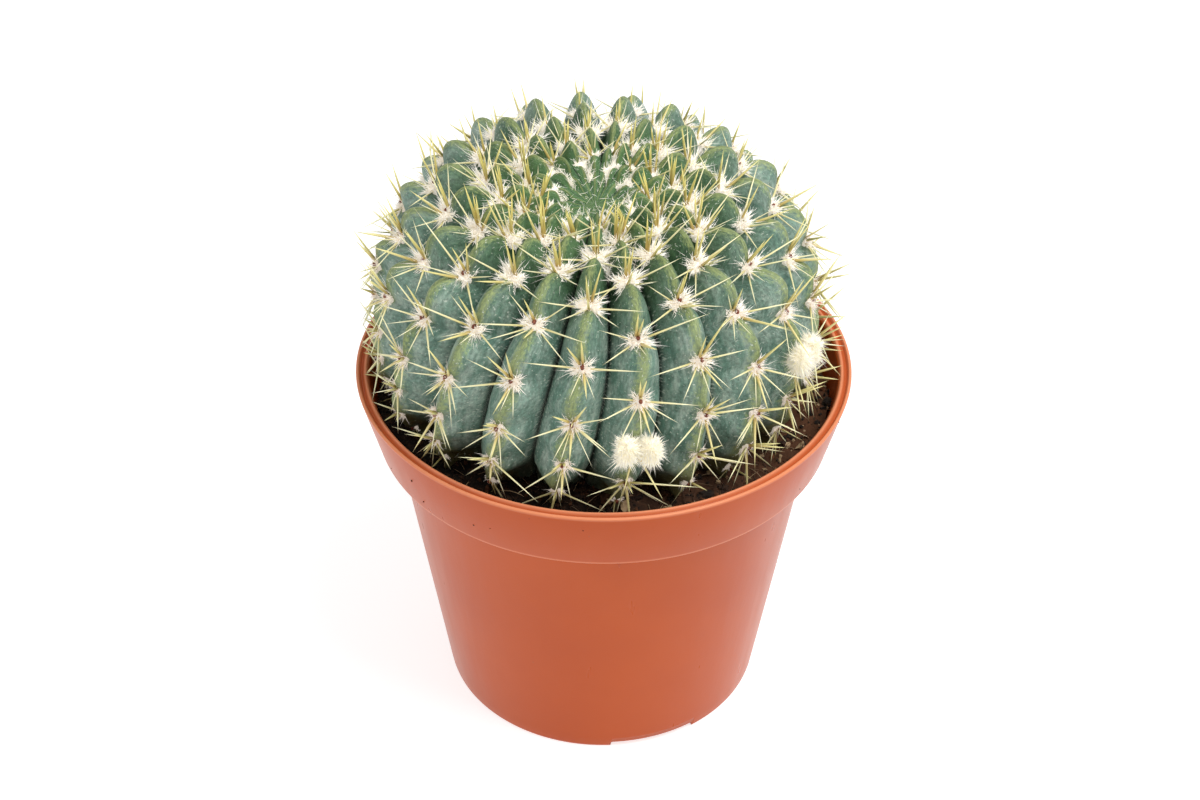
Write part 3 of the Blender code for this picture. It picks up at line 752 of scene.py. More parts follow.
# painted shade in the groove, a dark green where the crest share is low, with more specks in it than
# elsewhere
groove_shade_range = {"Value": crest_share, "From Min": 0.13, "From Max": 0.0}
groove_shade = node(tree, "ShaderNodeMapRange", {**groove_shade_range, "To Max": 0.9}, interpolation_type="SMOOTHSTEP")
groove_shaded = node(
    tree, "ShaderNodeMix", {"Factor": groove_shade, "A": corked, "B": colour("#26362C")}, data_type="RGBA"
)
near_groove = {"Value": crest_share, "From Min": 0.3, "From Max": 0.06}
by_groove = node(tree, "ShaderNodeMapRange", {**near_groove, "To Max": 0.08})
speck_chance = node(tree, "ShaderNodeMath", {0: patterns["specks"], 1: by_groove}, operation="ADD")
speck_range = {"Value": speck_chance, "From Min": 0.65, "From Max": 0.71}
white_speck = node(tree, "ShaderNodeMapRange", {**speck_range, "To Max": 0.8})
specked = node(
    tree, "ShaderNodeMix", {"Factor": white_speck, "A": groove_shaded, "B": colour("#C9D2C4")}, data_type="RGBA"
)
waxy = node(tree, "ShaderNodeMapRange", {"Value": streaks, "To Min": 0.42, "To Max": 0.62})
pores = node(tree, "ShaderNodeBump", {"Height": mottle, "Strength": 0.6, "Distance": 0.5 * MM})
streak_relief = {"Height": streaks, "Strength": 0.3, "Distance": 0.4 * MM}
ripples = node(tree, "ShaderNodeBump", {**streak_relief, "Normal": pores})
feed(shader, {"Base Color": specked, "Roughness": waxy, "Normal": ripples})
print("epidermis:", len(tree.nodes), "nodes")

# %% [markdown]
# The skin itself starts as an upright line of points that is spun into a tube, which gives a clean grid
# without any list of faces. The grid is then laid over the plant: its columns go to the ribs and its rows
# down the arc. The columns crowd together at the crest and in the groove, where the skin turns sharply.

# %% The ribbed skin
STEM_FOOT = SOIL_TOP - 3.0 * MM
COLUMNS_PER_RIB = 24
ROW = 0.7 * MM
LAST_ARC = 122.0 * MM
RIB_WIDTH = math.tau * GIRTH / RIBS

columns = RIBS * COLUMNS_PER_RIB
rows = round(LAST_ARC / ROW)
bm = bmesh.new()
line = [bm.verts.new((1.0, 0.0, float(index))) for index in range(rows + 1)]
edges = [bm.edges.new(pair) for pair in zip(line, line[1:])]
bmesh.ops.spin(
    bm, geom=line + edges, axis=(0, 0, 1), cent=(0, 0, 0), steps=columns, angle=math.tau, use_merge=True
)
bmesh.ops.remove_doubles(bm, verts=bm.verts, dist=0.0005)
grid = np.array([vert.co for vert in bm.verts])
row = np.round(grid[:, 2])
column = np.round(np.arctan2(grid[:, 1], grid[:, 0]) / math.tau * columns) % columns
rib, step = np.divmod(column, COLUMNS_PER_RIB)
even = step / COLUMNS_PER_RIB
across = even - 0.06 * np.sin(2 * math.tau * even) / math.tau * 2
arc = row / rows * LAST_ARC
skin_points = in_world(skin(rib, across, arc))
print("grid:", columns, "columns by", rows, "rows")

# %% [markdown]
# Each point also stores what the material reads. The tube is then cut off level, a little under the top of
# the peat, and its foot is closed. Its top row has shrunk to one point, the apex, so the doubles there are
# merged.

# %% What the skin remembers, and its closed foot
remembered = {
    "crest": 1 - 2 * np.minimum(across, 1 - across),
    "youth": 1 - fade_in(arc, 8, 26),
    "bloom": fade_in(arc, 26, 22),
    # how near the soil: this drives the stain and painted shade of the foot, and its cork
    "foot": smooth((SOIL_TOP + 20 * MM - skin_points[:, 2]) / (17 * MM)),
}
layers = {name: bm.verts.layers.float.new(name) for name in remembered}
place_layer = bm.verts.layers.float_vector.new("rib_place")
nearest_rib = np.where(across < 0.5, rib, rib + 1) % RIBS
from_crest = np.where(across < 0.5, across, across - 1) * RIB_WIDTH
for index, vert in enumerate(bm.verts):
    vert.co = skin_points[index]
    for name, layer in layers.items():
        vert[layer] = remembered[name][index]
    # the rib's number, times an odd step, gives every rib its own part of the pattern
    vert[place_layer] = (from_crest[index], arc[index], nearest_rib[index] * 7.31)
bmesh.ops.remove_doubles(bm, verts=bm.verts, dist=1e-6)
bmesh.ops.bisect_plane(
    bm, geom=bm.verts[:] + bm.edges[:] + bm.faces[:], dist=1e-6,
    plane_co=(0, 0, STEM_FOOT), plane_no=(0, 0, 1), clear_inner=True,
)
bmesh.ops.holes_fill(bm, edges=[edge for edge in bm.edges if edge.is_boundary], sides=0)
bmesh.ops.recalc_face_normals(bm, faces=bm.faces)
stem = object_from_bmesh("cactus_skin", bm, skin_finish, 75)
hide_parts("cactus_stem")
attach(stem, "root")
stem_tree = BVHTree.FromObject(stem, bpy.context.evaluated_depsgraph_get())
print("skin:", len(stem.data.polygons), "faces")

# %% [markdown]
# ## Areoles
# Each areole is a cushion of felt with a star of cream wool. The places could be picked by hand, but they
# come from the same skin function, with three directions for each: out of the skin, up the rib and to the
# side. So everything grows where the skin is, however the skin is changed.

# %% The areoles' places
HIGHEST_AREOLE = 9 * MM
LOWEST_AREOLE = 118 * MM
areoles = []
for rib_number in range(RIBS):
    for number in range(-4, 9):
        arc_here = float(areole_arc(number + areole_phase(rib_number)))
        if HIGHEST_AREOLE < arc_here < LOWEST_AREOLE:
            areoles.append((rib_number, number, arc_here))
rib_of, number_of, arc_of = (np.array(values, float) for values in zip(*areoles))
on_the_crest = np.zeros(len(areoles))
here = in_world(skin(rib_of, on_the_crest, arc_of))
above = in_world(skin(rib_of, on_the_crest, arc_of - 1.0 * MM))
below = in_world(skin(rib_of, on_the_crest, arc_of + 1.0 * MM))
right = in_world(skin(rib_of, on_the_crest + 0.03, arc_of))
left = in_world(skin(rib_of - 1, on_the_crest + 0.97, arc_of))
up = above - below
up /= np.linalg.norm(up, axis=1, keepdims=True)
out = np.cross(right - left, up)
out /= np.linalg.norm(out, axis=1, keepdims=True)
side_way = np.cross(up, out)
shown = here[:, 2] > SOIL_TOP + 1.0 * MM
print("areoles:", int(shown.sum()))

# %% [markdown]
# An areole changes as the plant grows away from it. Four numbers say so for each: whether it has only just
# formed, its age, how far the soil has reached it, and whether it bears buds. All that grows on it reads
# these.

# %% The areoles' ages
BUD_AREOLES = {(0, 3), (3, 3)}  # rib and number
has_buds = np.array([(int(r), int(n)) in BUD_AREOLES for r, n in zip(rib_of, number_of)])
youngest = smooth((26 * MM - arc_of) / (13 * MM))  # 1 on the areoles that are only just forming
age = fade_in(arc_of, 12, 75)  # 0 at the apex, 1 on the lowest
buried = smooth((SOIL_TOP + 12 * MM - here[:, 2]) / (9 * MM))  # 1 on the areoles that the soil has reached
print("young:", int((shown & (youngest > 0.5)).sum()), "half buried:", int((shown & (buried > 0.5)).sum()))

# %% [markdown]
# The wool is plant hair: dead, hollow, cream cells that scatter nearly all the light. It is white at the
# tips, creamier at the root, and weathers to a grey-pink on the old areoles. Light that wanders from hair to
# hair brightens real wool from within. A few solid hairs can't do that, so the material glows a little.

# %% Plant wool
wool_finish, tree, shader = new_material("plant_wool", 0.9, 1.4)
along = node(tree, "ShaderNodeAttribute", attribute_name="along").outputs["Fac"]
weathered = node(tree, "ShaderNodeAttribute", attribute_name="tint").outputs["Fac"]
new_wool = {"A": colour("#FBF3E2"), "B": colour("#FFFEFA")}
old_wool = {"A": colour("#CDB0A2"), "B": colour("#EFE3D8")}
fresh = node(tree, "ShaderNodeMix", {"Factor": along, **new_wool}, data_type="RGBA")
old = node(tree, "ShaderNodeMix", {"Factor": along, **old_wool}, data_type="RGBA")
wool_colour = node(tree, "ShaderNodeMix", {"Factor": weathered, "A": fresh, "B": old}, data_type="RGBA")
feed(shader, {"Base Color": wool_colour, "Sheen Weight": 0.3})
feed(shader, {"Emission Color": colour("#FFF6E4"), "Emission Strength": 0.24})


def hair():
    """A three-sided hair, widest a little over its root."""
    return turned([(0, 0), (1, 0.05), (0.8, 0.5), (0, 1)], 3)


def down():
    """A short three-sided hair with a thick middle."""
    return turned([(0, 0), (1, 0.4), (0, 1)], 3)


print("wool:", len(tree.nodes), "nodes")

# %% [markdown]
# A tuft is a few hundred tapered hairs that fan out from the cushion. Most lie low over the skin and the rest
# stand up, and they are longer in five directions, which gives the star its feathery edge. A textured card
# would be cheaper, but it looks flat from the side. One function makes a layer, and two layers make the tuft:
# long hair that fans out, and short thick down over the cushion.

# %% Wool stars


def wool_stars(name, strand, hairs, lowest, highest, reach, thick, wide):
    """One layer of wool. Its hairs lift off the skin between two angles, and its sizes are in millimetres."""
    number = np.round(hairs * (1.5 - 0.95 * age) * (1 - 0.5 * buried) * (1 - 0.65 * youngest)).astype(int)
    tuft = np.repeat(np.arange(len(areoles)), np.where(shown & ~has_buds, number, 0))
    count = len(tuft)
    old, new, sunk = age[tuft], youngest[tuft], buried[tuft]
    turn = chance.random(count) * math.tau
    lift = np.radians(lowest + (highest - lowest) * chance.random(count) ** 1.4)
    flat = np.cos(turn)[:, None] * up[tuft] + np.sin(turn)[:, None] * side_way[tuft]
    fan = np.cos(lift)[:, None] * flat + np.sin(lift)[:, None] * out[tuft]
    spread = wide * (1 - 0.42 * old) * (1 - 0.4 * new) * MM * np.sqrt(chance.random(count))
    domed = (0.35 + 2.0 * (1 - old) * (1 - 0.6 * new)) * MM - 0.45 * spread  # a bulging cushion
    root = here[tuft] + out[tuft] * domed[:, None] + flat * spread[:, None]
    star = 0.85 + 0.3 * np.cos(5 * turn + rib_of[tuft] + number_of[tuft])
    length = reach * (1 - 0.42 * old) * (1 - 0.6 * sunk) * (1 - 0.55 * new) * MM
    length = length * star * (0.45 + 0.75 * chance.random(count))
    bend = random_directions(count) * (length * 0.4)[:, None]
    tints = np.clip(old**2 * 0.7 + 0.15 * chance.random(count) + 0.5 * sunk, 0, 1)
    thickness = thick * (1 - 0.3 * old) * MM
    wool = needles(name, strand, root, fan, length, thickness, wool_finish, bend, tints)
    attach(wool, "root")


wool_stars("areole_wool", hair(), hairs=92, lowest=5, highest=68, reach=4.5, thick=0.10, wide=1.7)
wool_stars("areole_down", down(), hairs=185, lowest=20, highest=90, reach=2.9, thick=0.14, wide=2.5)

# %% [markdown]
# Under the wool the cushion itself is felt, too dense to show single hairs. Each is a dented ball, flattened
# onto the skin, so that no green shows through the middle of the star. It bulges most while the areole is
# young.

# %% Felt cushions
cushions = np.flatnonzero(shown)
felt_mesh, local = balls(2, len(cushions), dents=0.13)
x, y, z = (local[:, :, axis, None] for axis in range(3))
side_part = side_way[cushions][:, None] * x * 0.85
up_part = up[cushions][:, None] * y * 1.1
out_part = out[cushions][:, None] * z * (0.5 + 0.4 * (1 - age))[cushions][:, None, None]
cushion_size = ((2.3 - 0.9 * age - 0.4 * buried - 0.8 * youngest)[cushions] * MM)[:, None, None]
felt_points = here[cushions][:, None] + cushion_size * (side_part + up_part + out_part)
give(felt_mesh, "along", z[:, :, 0] * 0.3 + 0.4, z.shape[:2])
give(felt_mesh, "tint", (0.3 + age * 0.4 + buried * 0.3)[cushions][:, None], z.shape[:2])
felt = object_from_copies("areole_felt", felt_mesh, felt_points, wool_finish)
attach(felt, "root")

# %% [markdown]
# The spines of an old areole rise from a dark red-brown seat in the middle of the wool, a scab of hard
# scales. Its two browns are mixed by a noise as fine as the scales, and it lies on top of the cushion's
# bulge.

# %% Spine seats
seat_finish, tree, shader = new_material("spine_seat", 0.6, 1.5)
place = node(tree, "ShaderNodeTexCoord").outputs["Object"]
scales = node(tree, "ShaderNodeTexNoise", {"Vector": place, "Scale": 2.6 / MM, "Detail": 3.0})  # 0.4 mm
scaly = node(tree, "ShaderNodeMapRange", {"Value": scales, "From Min": 0.35, "From Max": 0.65})
browns = {"A": colour("#5A241B"), "B": colour("#8A4A2C")}
feed(shader, {"Base Color": node(tree, "ShaderNodeMix", {"Factor": scaly, **browns}, data_type="RGBA")})

SEAT_SIZE = 0.47 * MM
seated = np.flatnonzero(shown & (arc_of > 36 * MM))
seat_mesh, local = balls(2, len(seated), dents=0.12)
x, y, z = (local[:, :, axis, None] for axis in range(3))
on_bulge = 0.9 + 1.7 * (1 - age[seated])[:, None]
seat_middles = here[seated] + (up[seated] * 0.35 + out[seated] * on_bulge) * MM
seat_shape = side_way[seated][:, None] * x + up[seated][:, None] * y * 1.3 + out[seated][:, None] * z
seat_points = seat_middles[:, None] + SEAT_SIZE * seat_shape
seats = object_from_copies("spine_seats", seat_mesh, seat_points, seat_finish)
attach(seats, "root")

# %% [markdown]
# ## Spines
# A spine is a leaf that has hardened to a straw-yellow needle of horn. It is amber at the root, pale at the
# tip and polished all over, and stout spines are deeper in colour than thin ones. Rain splashes dust from the
# soil onto the lowest. So the colour is mixed by the way along the spine, by its stoutness and by its height
# over the soil.

# %% Spine horn
horn, tree, shader = new_material("spine_horn", 0.38, 1.55)
along = node(tree, "ShaderNodeAttribute", attribute_name="along").outputs["Fac"]
stoutness = node(tree, "ShaderNodeAttribute", attribute_name="tint").outputs["Fac"]
place = node(tree, "ShaderNodeTexCoord").outputs["Object"]
toward_tip = node(tree, "ShaderNodeMapRange", {"Value": along, "From Min": 0.05, "From Max": 0.6})
stout_horn = {"A": colour("#AD822A"), "B": colour("#E3D67C")}
thin_horn = {"A": colour("#DED68A"), "B": colour("#F7F3CC")}
stout = node(tree, "ShaderNodeMix", {"Factor": toward_tip, **stout_horn}, data_type="RGBA")
thin = node(tree, "ShaderNodeMix", {"Factor": toward_tip, **thin_horn}, data_type="RGBA")
clean_horn = node(tree, "ShaderNodeMix", {"Factor": stoutness, "A": thin, "B": stout}, data_type="RGBA")
height = node(tree, "ShaderNodeSeparateXYZ", {"Vector": place}).outputs["Z"]
splash_heights = {"From Min": SOIL_TOP + 13 * MM, "From Max": SOIL_TOP + 2 * MM}
near_soil = node(tree, "ShaderNodeMapRange", {"Value": height, **splash_heights, "To Max": 0.6})
dusted = node(
    tree, "ShaderNodeMix", {"Factor": near_soil, "A": clean_horn, "B": colour("#857740")}, data_type="RGBA"
)
feed(shader, {"Base Color": dusted})
print("horn:", len(tree.nodes), "nodes")

# %% [markdown]
# Every areole bears nearly the same set: two stout uprights, a stout one that points down the crest, long
# ones to both sides, and thin pale ones below. On the youngest, three thicker spines stand up. A table of
# these kinds, with a little chance in each angle, length and number, gives rows that look regular and still
# grown.

# %% The kinds of spines
# angle round the areole from straight up, lift off the skin, length and radius in mm, how stout, how usual
KINDS = (
    (-16, 48, 12.5, 0.38, 0.95, 0.95),
    (19, 46, 13.0, 0.38, 0.95, 0.95),
    (0, 66, 9.5, 0.24, 0.6, 0.35),
    (-64, 34, 11.0, 0.22, 0.3, 0.4),
    (64, 34, 11.0, 0.22, 0.3, 0.4),
    (-100, 20, 14.0, 0.27, 0.25, 0.97),
    (100, 20, 14.0, 0.27, 0.25, 0.97),
    (-133, 22, 11.0, 0.23, 0.15, 0.6),
    (133, 22, 11.0, 0.23, 0.15, 0.6),
    (-157, 20, 9.5, 0.18, 0.0, 0.85),
    (158, 20, 9.5, 0.18, 0.0, 0.85),
    (184, 34, 14.0, 0.38, 0.8, 0.92),
)
YOUNG_KINDS = (
    (-30, 58, 11.5, 0.42, 0.95, 0.4),
    (32, 56, 12.0, 0.42, 0.95, 0.4),
    (-8, 70, 13.5, 0.46, 1.0, 0.6),
)
BELOW_BUDS = (13.5, 0.34, 0.8)  # length, radius and how stout
FIRST_SPINES = 13 * MM  # no spines nearer to the apex than this
SPINE_REACH = 58.5 * MM
SPINE_REACH_IN_POT = 55.0 * MM
LOWEST_TIP = 83.5 * MM
HIGHEST_TIP = solid_box[1][2] - 0.6 * MM
print("kinds:", len(KINDS), "and", len(YOUNG_KINDS), "more on young areoles")

# %% [markdown]
# A straight spine can run back into its own rib, or out past the pot. Blender can test the first with a ray:
# if the ray meets the skin, the spine is lifted 5 degrees and tried again. The second is cured by growing it
# shorter.

# %% Room for a spine


def clear_of_skin(start, ahead, long):
    """Whether a straight spine leaves its areole without running back into the rib."""
    hit = stem_tree.ray_cast(Vector(start + ahead * 1.5 * MM), Vector(ahead), long - 1.5 * MM)
    return hit[0] is None


def lifted_clear(index, flat, start, lift, long):
    """The direction of a spine that has been lifted until it is clear of the skin."""
    for _ in range(9):
        ahead = flat * math.cos(math.radians(lift)) + out[index] * math.sin(math.radians(lift))
        if clear_of_skin(start, ahead, long):
            break
        lift += 5
    return ahead


def short_enough(start, ahead, long):
    """The length at which a spine's tip stays over the pot and under the top of the solids."""
    for _ in range(20):
        tip = start + ahead * long
        in_pot = tip[2] < POT_HEIGHT + 1 * MM
        reach = SPINE_REACH_IN_POT if in_pot else SPINE_REACH
        if math.hypot(tip[0], tip[1]) < reach and LOWEST_TIP < tip[2] < HIGHEST_TIP:
            break
        long *= 0.9
    return long


# %% [markdown]
# Each areole then grows its set. Spines are smaller on the youngest areoles, and fewer and shorter where the
# soil has reached them and on the upper part of the plant's back. An areole with buds keeps only its lowest
# spines.

# %% The spines
spine_rows = []
for index in np.flatnonzero(shown & (arc_of >= FIRST_SPINES)):
    grown = 0.6 + 0.4 * float(fade_in(arc_of[index], 14, 7))
    sunk = float(buried[index])
    behind = float(smooth((here[index][1] + 5 * MM) / (30 * MM)) * (1 - fade_in(arc_of[index], 48, 20)))
    kinds = KINDS + (YOUNG_KINDS if arc_of[index] < 30 * MM else ())
    for angle, lift, long, thick, stout_share, usual in kinds:
        if chance.random() > usual * (1 - 0.88 * sunk) * (1 - 0.45 * behind):
            continue
        if has_buds[index]:
            if abs(angle) < 140:
                continue
            long, thick, stout_share = BELOW_BUDS
        angle = math.radians(angle + chance.normal(0, 9))
        lift = lift + chance.normal(0, 7) + 20 * (1 - grown)
        long = long * MM * grown * (1 - 0.4 * sunk) * (1 - 0.3 * behind) * (1 + chance.normal(0, 0.12))
        thick = thick * MM * (0.7 + 0.3 * grown) * (1 - 0.2 * sunk)
        flat = up[index] * math.cos(angle) + side_way[index] * math.sin(angle)
        start = here[index] + flat * 0.7 * MM + out[index] * 0.5 * MM
        ahead = lifted_clear(index, flat, start, lift, long)
        long = short_enough(start, ahead, long)
        spine_rows.append((start, ahead, long, thick, stout_share * (1 - 0.3 * age[index])))
starts, aheads, lengths, widths, stout_shares = (np.array(values) for values in zip(*spine_rows))
spine = turned([(0, 0), (1, 0), (0.85, 0.3), (0.55, 0.65), (0, 1)], 6)
bends = random_directions(len(starts)) * (lengths * 0.02)[:, None]
spines = needles("spines", spine, starts, aheads, lengths, widths, horn, bends, stout_shares)
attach(spines, "root")

# %% [markdown]
# ## The woolly apex
# New ribs start as small green bumps in the sunken middle. Wool of the areoles gets caught in the grooves
# between them, and stays there as a thin web of threads that lie along the groove. The web lies only between
# neighbouring pairs of ribs, because the two ribs of a pair haven't parted there. A few threads also stand in
# the very middle.

# %% The wool of the apex and the grooves


def web(name, roots, ahead, shortest, longest, thick, curl):
    """Loose fine threads."""
    count = len(roots)
    length = (shortest + (longest - shortest) * chance.random(count)) * MM
    bend = random_directions(count) * (length * curl)[:, None]
    thickness = np.full(count, thick * MM)
    threads = needles(name, hair(), roots, ahead, length, thickness, wool_finish, bend, np.zeros(count))
    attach(threads, "root")


count = 70
arcs = 7 * MM * np.sqrt(chance.random(count))
ribs_here = chance.integers(0, RIBS, count).astype(float)
across_here = chance.random(count)
roots = in_world(skin(ribs_here, across_here, arcs)) + np.array([0, 0, 0.2 * MM])
web("apex_wool", roots, random_directions(count) + np.array([0, 0, 0.7]), 1.0, 2.8, 0.06, 0.4)

count = 4600
arcs = (6 + 18 * chance.random(count)) * MM
ribs_here = 2.0 * chance.integers(0, RIBS // 2 + 1, count)
across_here = 0.5 + chance.normal(0, 0.13, count)
roots = in_world(skin(ribs_here, across_here, arcs)) + np.array([0, 0, 1.1]) * MM * chance.random((count, 1))
down_the_groove = (in_world(skin(ribs_here, across_here, arcs + 1 * MM)) - roots) / MM
ahead = down_the_groove + random_directions(count) * 1.1 + np.array([0, 0, 0.5])
web("groove_wool", roots, ahead, 1.2, 3.4, 0.075, 0.3)

# %% [markdown]
# ## The buds
# Flower buds of this plant start as balls of cream wool, two to an areole. Their fleece is denser and warmer
# than the areoles' wool: yellowish at the roots, which also paints the shade in its depth, and nearly white
# at the tips. Like the wool, it glows a little.

# %% The buds' fleece
fluffy, tree, shader = new_material("bud_fleece", 0.95, 1.4)
along = node(tree, "ShaderNodeAttribute", attribute_name="along").outputs["Fac"]
warmth = node(tree, "ShaderNodeAttribute", attribute_name="tint").outputs["Fac"]
cool_wool = {"A": colour("#F3E7C4"), "B": colour("#FFFFFA")}
warm_wool = {"A": colour("#EADBB4"), "B": colour("#FDF9E8")}
# root to tip: cream with painted shade at the root, nearly white at the tip
cool = node(tree, "ShaderNodeMix", {"Factor": along, **cool_wool}, data_type="RGBA")
warm = node(tree, "ShaderNodeMix", {"Factor": along, **warm_wool}, data_type="RGBA")
fleece_colour = node(tree, "ShaderNodeMix", {"Factor": warmth, "A": cool, "B": warm}, data_type="RGBA")
feed(shader, {"Base Color": fleece_colour, "Sheen Weight": 0.4})
feed(shader, {"Emission Color": colour("#FFF6DC"), "Emission Strength": 0.2})
print("fleece:", len(tree.nodes), "nodes")

# %% [markdown]
# Each bud is a soft, lumpy core under 2,400 hairs that stand out of it, a little bent and in clumps, so that
# its edge is fluffy against the dark skin. The hairs hang longer below. The core alone would look like
# plaster, and the hairs alone would let the dark show through.

# %% A bud's core and fleece
BUDS = ("bud_front_left", "bud_front_right", "bud_side_left", "bud_side_right")
HAIRS_PER_BUD = 2400
TALLER = 1.2


def bud_core(name, middle, half):
    """The lumpy ball under the hairs."""
    ball = bmesh.new()
    bmesh.ops.create_icosphere(ball, subdivisions=4, radius=1.0)
    for vert in ball.verts:
        # the noise starts at the bud's own place, so that no two buds are the same
        lump = 0.50 + 0.14 * noise.noise(vert.co * 1.7 + Vector(middle * 900))
        vert.co = Vector(middle) + Vector(vert.co * lump) * half.mean()
        vert.co.z = middle[2] + (vert.co.z - middle[2]) * TALLER * half[2] / half.mean()
    core = object_from_bmesh(name + "_core", ball, fluffy, 180)
    # the core takes a colour a third of the way to the tips, so it keeps some of the painted shade
    give(core.data, "along", 0.35, len(core.data.vertices))
    give(core.data, "tint", 0.5, len(core.data.vertices))
    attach(core, "root")


def bud_fleece(name, middle, half):
    """The hairs of one bud, which stand for the whole bud."""
    count = HAIRS_PER_BUD
    outward = random_directions(count)
    depth = 0.28 + 0.12 * chance.random((count, 1))
    roots = middle + outward * half * np.array([1.0, 1.0, TALLER]) * depth
    clump = np.array([noise.noise(Vector(point) * 2.2 + Vector(middle * 700)) for point in outward])
    hanging = np.clip(-outward[:, 2], 0, 1)
    ahead = outward + random_directions(count) * 0.5 - np.array([0, 0, 0.2])
    length = (1.15 + 1.1 * chance.random(count) ** 1.5) * MM
    length = length * (1.0 + 1.3 * clump) * (1 + 0.45 * hanging)
    bend = random_directions(count) * (length * 0.35)[:, None]
    thickness = np.full(count, 0.12 * MM)
    fleece = needles(name + "_fleece", hair(), roots, ahead, length, thickness, fluffy, bend)
    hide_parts(name)
    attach(fleece, "root")


# %% [markdown]
# The solids' boxes give the buds their places and sizes, so that each bud grows where its solid is. The two
# of a pair are then moved towards each other by a share of the way to their common middle.

# %% The four buds
PRESSED_TOGETHER = 0.28
bud_boxes = {name: [np.array(point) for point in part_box(name)] for name in BUDS}
bud_middles = {name: (low + high) / 2 for name, (low, high) in bud_boxes.items()}
for name in BUDS:
    half = (bud_boxes[name][1] - bud_boxes[name][0]) / 2
    pair = [bud_middles[other] for other in BUDS if other.split("_")[1] == name.split("_")[1]]
    middle = bud_middles[name] + PRESSED_TOGETHER * (sum(pair) / 2 - bud_middles[name])
    bud_core(name, middle, half)
    bud_fleece(name, middle, half)

# %% [markdown]
# ## The peat
# Potting peat is dark, crumbly and dull: decayed moss with paler fibres in it, and reddish bark. A single
# brown would look like chocolate. So dark and lighter patches are mixed by a broad noise, crumbs by a fine
# one, and painted light makes the soil lighter and redder towards the right of the pot, where the light
# falls.

# %% Potting peat
peat_finish, tree, shader = new_material("potting_peat", 0.92, 1.45)
place = node(tree, "ShaderNodeTexCoord").outputs["Object"]
# patches 14 mm across, crumbs 2.4 mm and finer
patch_noise = node(tree, "ShaderNodeTexNoise", {"Vector": place, "Scale": 0.07 / MM, "Detail": 2.0})
crumb_size = {"Scale": 0.42 / MM, "Detail": 6.0, "Roughness": 0.65}
crumb_noise = node(tree, "ShaderNodeTexNoise", {"Vector": place, **crumb_size})
patchy = node(tree, "ShaderNodeMapRange", {"Value": patch_noise, "From Min": 0.4, "From Max": 0.65})
two_browns = {"A": colour("#17110C"), "B": colour("#2C1D13")}
dark = node(tree, "ShaderNodeMix", {"Factor": patchy, **two_browns}, data_type="RGBA")
light = node(tree, "ShaderNodeMapRange", {"Value": crumb_noise, "From Min": 0.5, "From Max": 0.75})
peat_colour = node(
    tree, "ShaderNodeMix", {"Factor": light, "A": dark, "B": colour("#5A3F2A")}, data_type="RGBA"
)
# painted light: the peat turns lighter and redder towards the right
to_right = node(tree, "ShaderNodeSeparateXYZ", {"Vector": place}).outputs["X"]
lit_span = {"From Min": -20 * MM, "From Max": 50 * MM}
lit_side = node(tree, "ShaderNodeMapRange", {"Value": to_right, **lit_span, "To Max": 0.6})
peat_lit_from_right = node(
    tree, "ShaderNodeMix", {"Factor": lit_side, "A": peat_colour, "B": colour("#633A1E")}, data_type="RGBA"
)
crumbly = node(tree, "ShaderNodeBump", {"Height": crumb_noise, "Strength": 0.8, "Distance": 0.8 * MM})
feed(shader, {"Base Color": peat_lit_from_right, "Normal": crumbly})
print("peat:", len(tree.nodes), "nodes")

# %% [markdown]
# The bed is a plug that is spun like the pot, and shaped to the inside of the pot's wall. Its top is pushed
# up and down by noise of three sizes, and hollowed under the stem, which covers it there. A displacement
# modifier would do the same, but the crumbs and fibres have to lie on this surface, so its height is a
# function that they can ask.

# %% The bed
BED_GAP = 0.3 * MM
BED_RING = 0.85 * MM
BED_CHAMFER = 1.5 * MM
HOLLOW = 4.6 * MM
HOLLOW_RADIUS = 33 * MM
stem_middle = Vector((PIVOT.x, PIVOT.y + (PIVOT.z - SOIL_TOP) * math.tan(LEAN), 0.0))


def bed_height(x, y):
    """The height of the peat: noise of three sizes, and a hollow under the stem."""
    point = Vector((x, y, 0.0))
    height = SOIL_TOP + 0.4 * MM
    height += 1.5 * MM * noise.noise(point * 70) + 1.2 * MM * noise.noise(point * 190 + Vector((5, 3, 1)))
    height += 0.7 * MM * noise.noise(point * 520 + Vector((1, 9, 4)))
    under = 1.0 - float(smooth(((point - stem_middle).length - HOLLOW_RADIUS) / (4 * MM)))
    return height - HOLLOW * under


def against_wall(height):
    return inside_radius(height) - BED_GAP


edge = against_wall(SOIL_TOP)
bottom = FLOOR_TOP + BED_GAP
bed_profile = [
    (0.0, bottom),
    (inside_radius(bottom) - BED_CHAMFER, bottom),
    (against_wall(bottom + BED_CHAMFER), bottom + BED_CHAMFER),
    (against_wall(LEDGE - 0.6 * MM), LEDGE - 0.3 * MM),
    (against_wall(LEDGE), LEDGE + 0.3 * MM),
    (edge - 0.5 * MM, SOIL_TOP - 1.5 * MM),
    (edge, SOIL_TOP),
]
bed_rings = [index * BED_RING for index in range(int(inside_radius(SOIL_TOP) / BED_RING))]
bed_profile += [(radius, SOIL_TOP) for radius in reversed(bed_rings)]
bm = turned(bed_profile, 300)
for vert in bm.verts:
    if vert.co.z > SOIL_TOP - 0.1 * MM:
        vert.co.z = bed_height(vert.co.x, vert.co.y)
bed = object_from_bmesh("peat_bed", bm, peat_finish, 60)
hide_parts("soil")
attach(bed, "root")
print("bed:", len(bed.data.polygons), "faces")

# %% [markdown]
# Loose crumbs of peat are nearly black, and a few are rusty bark or pale straw. One material serves them all,
# because each crumb carries a number of its own that picks its colour. A fine noise then speckles the faces.

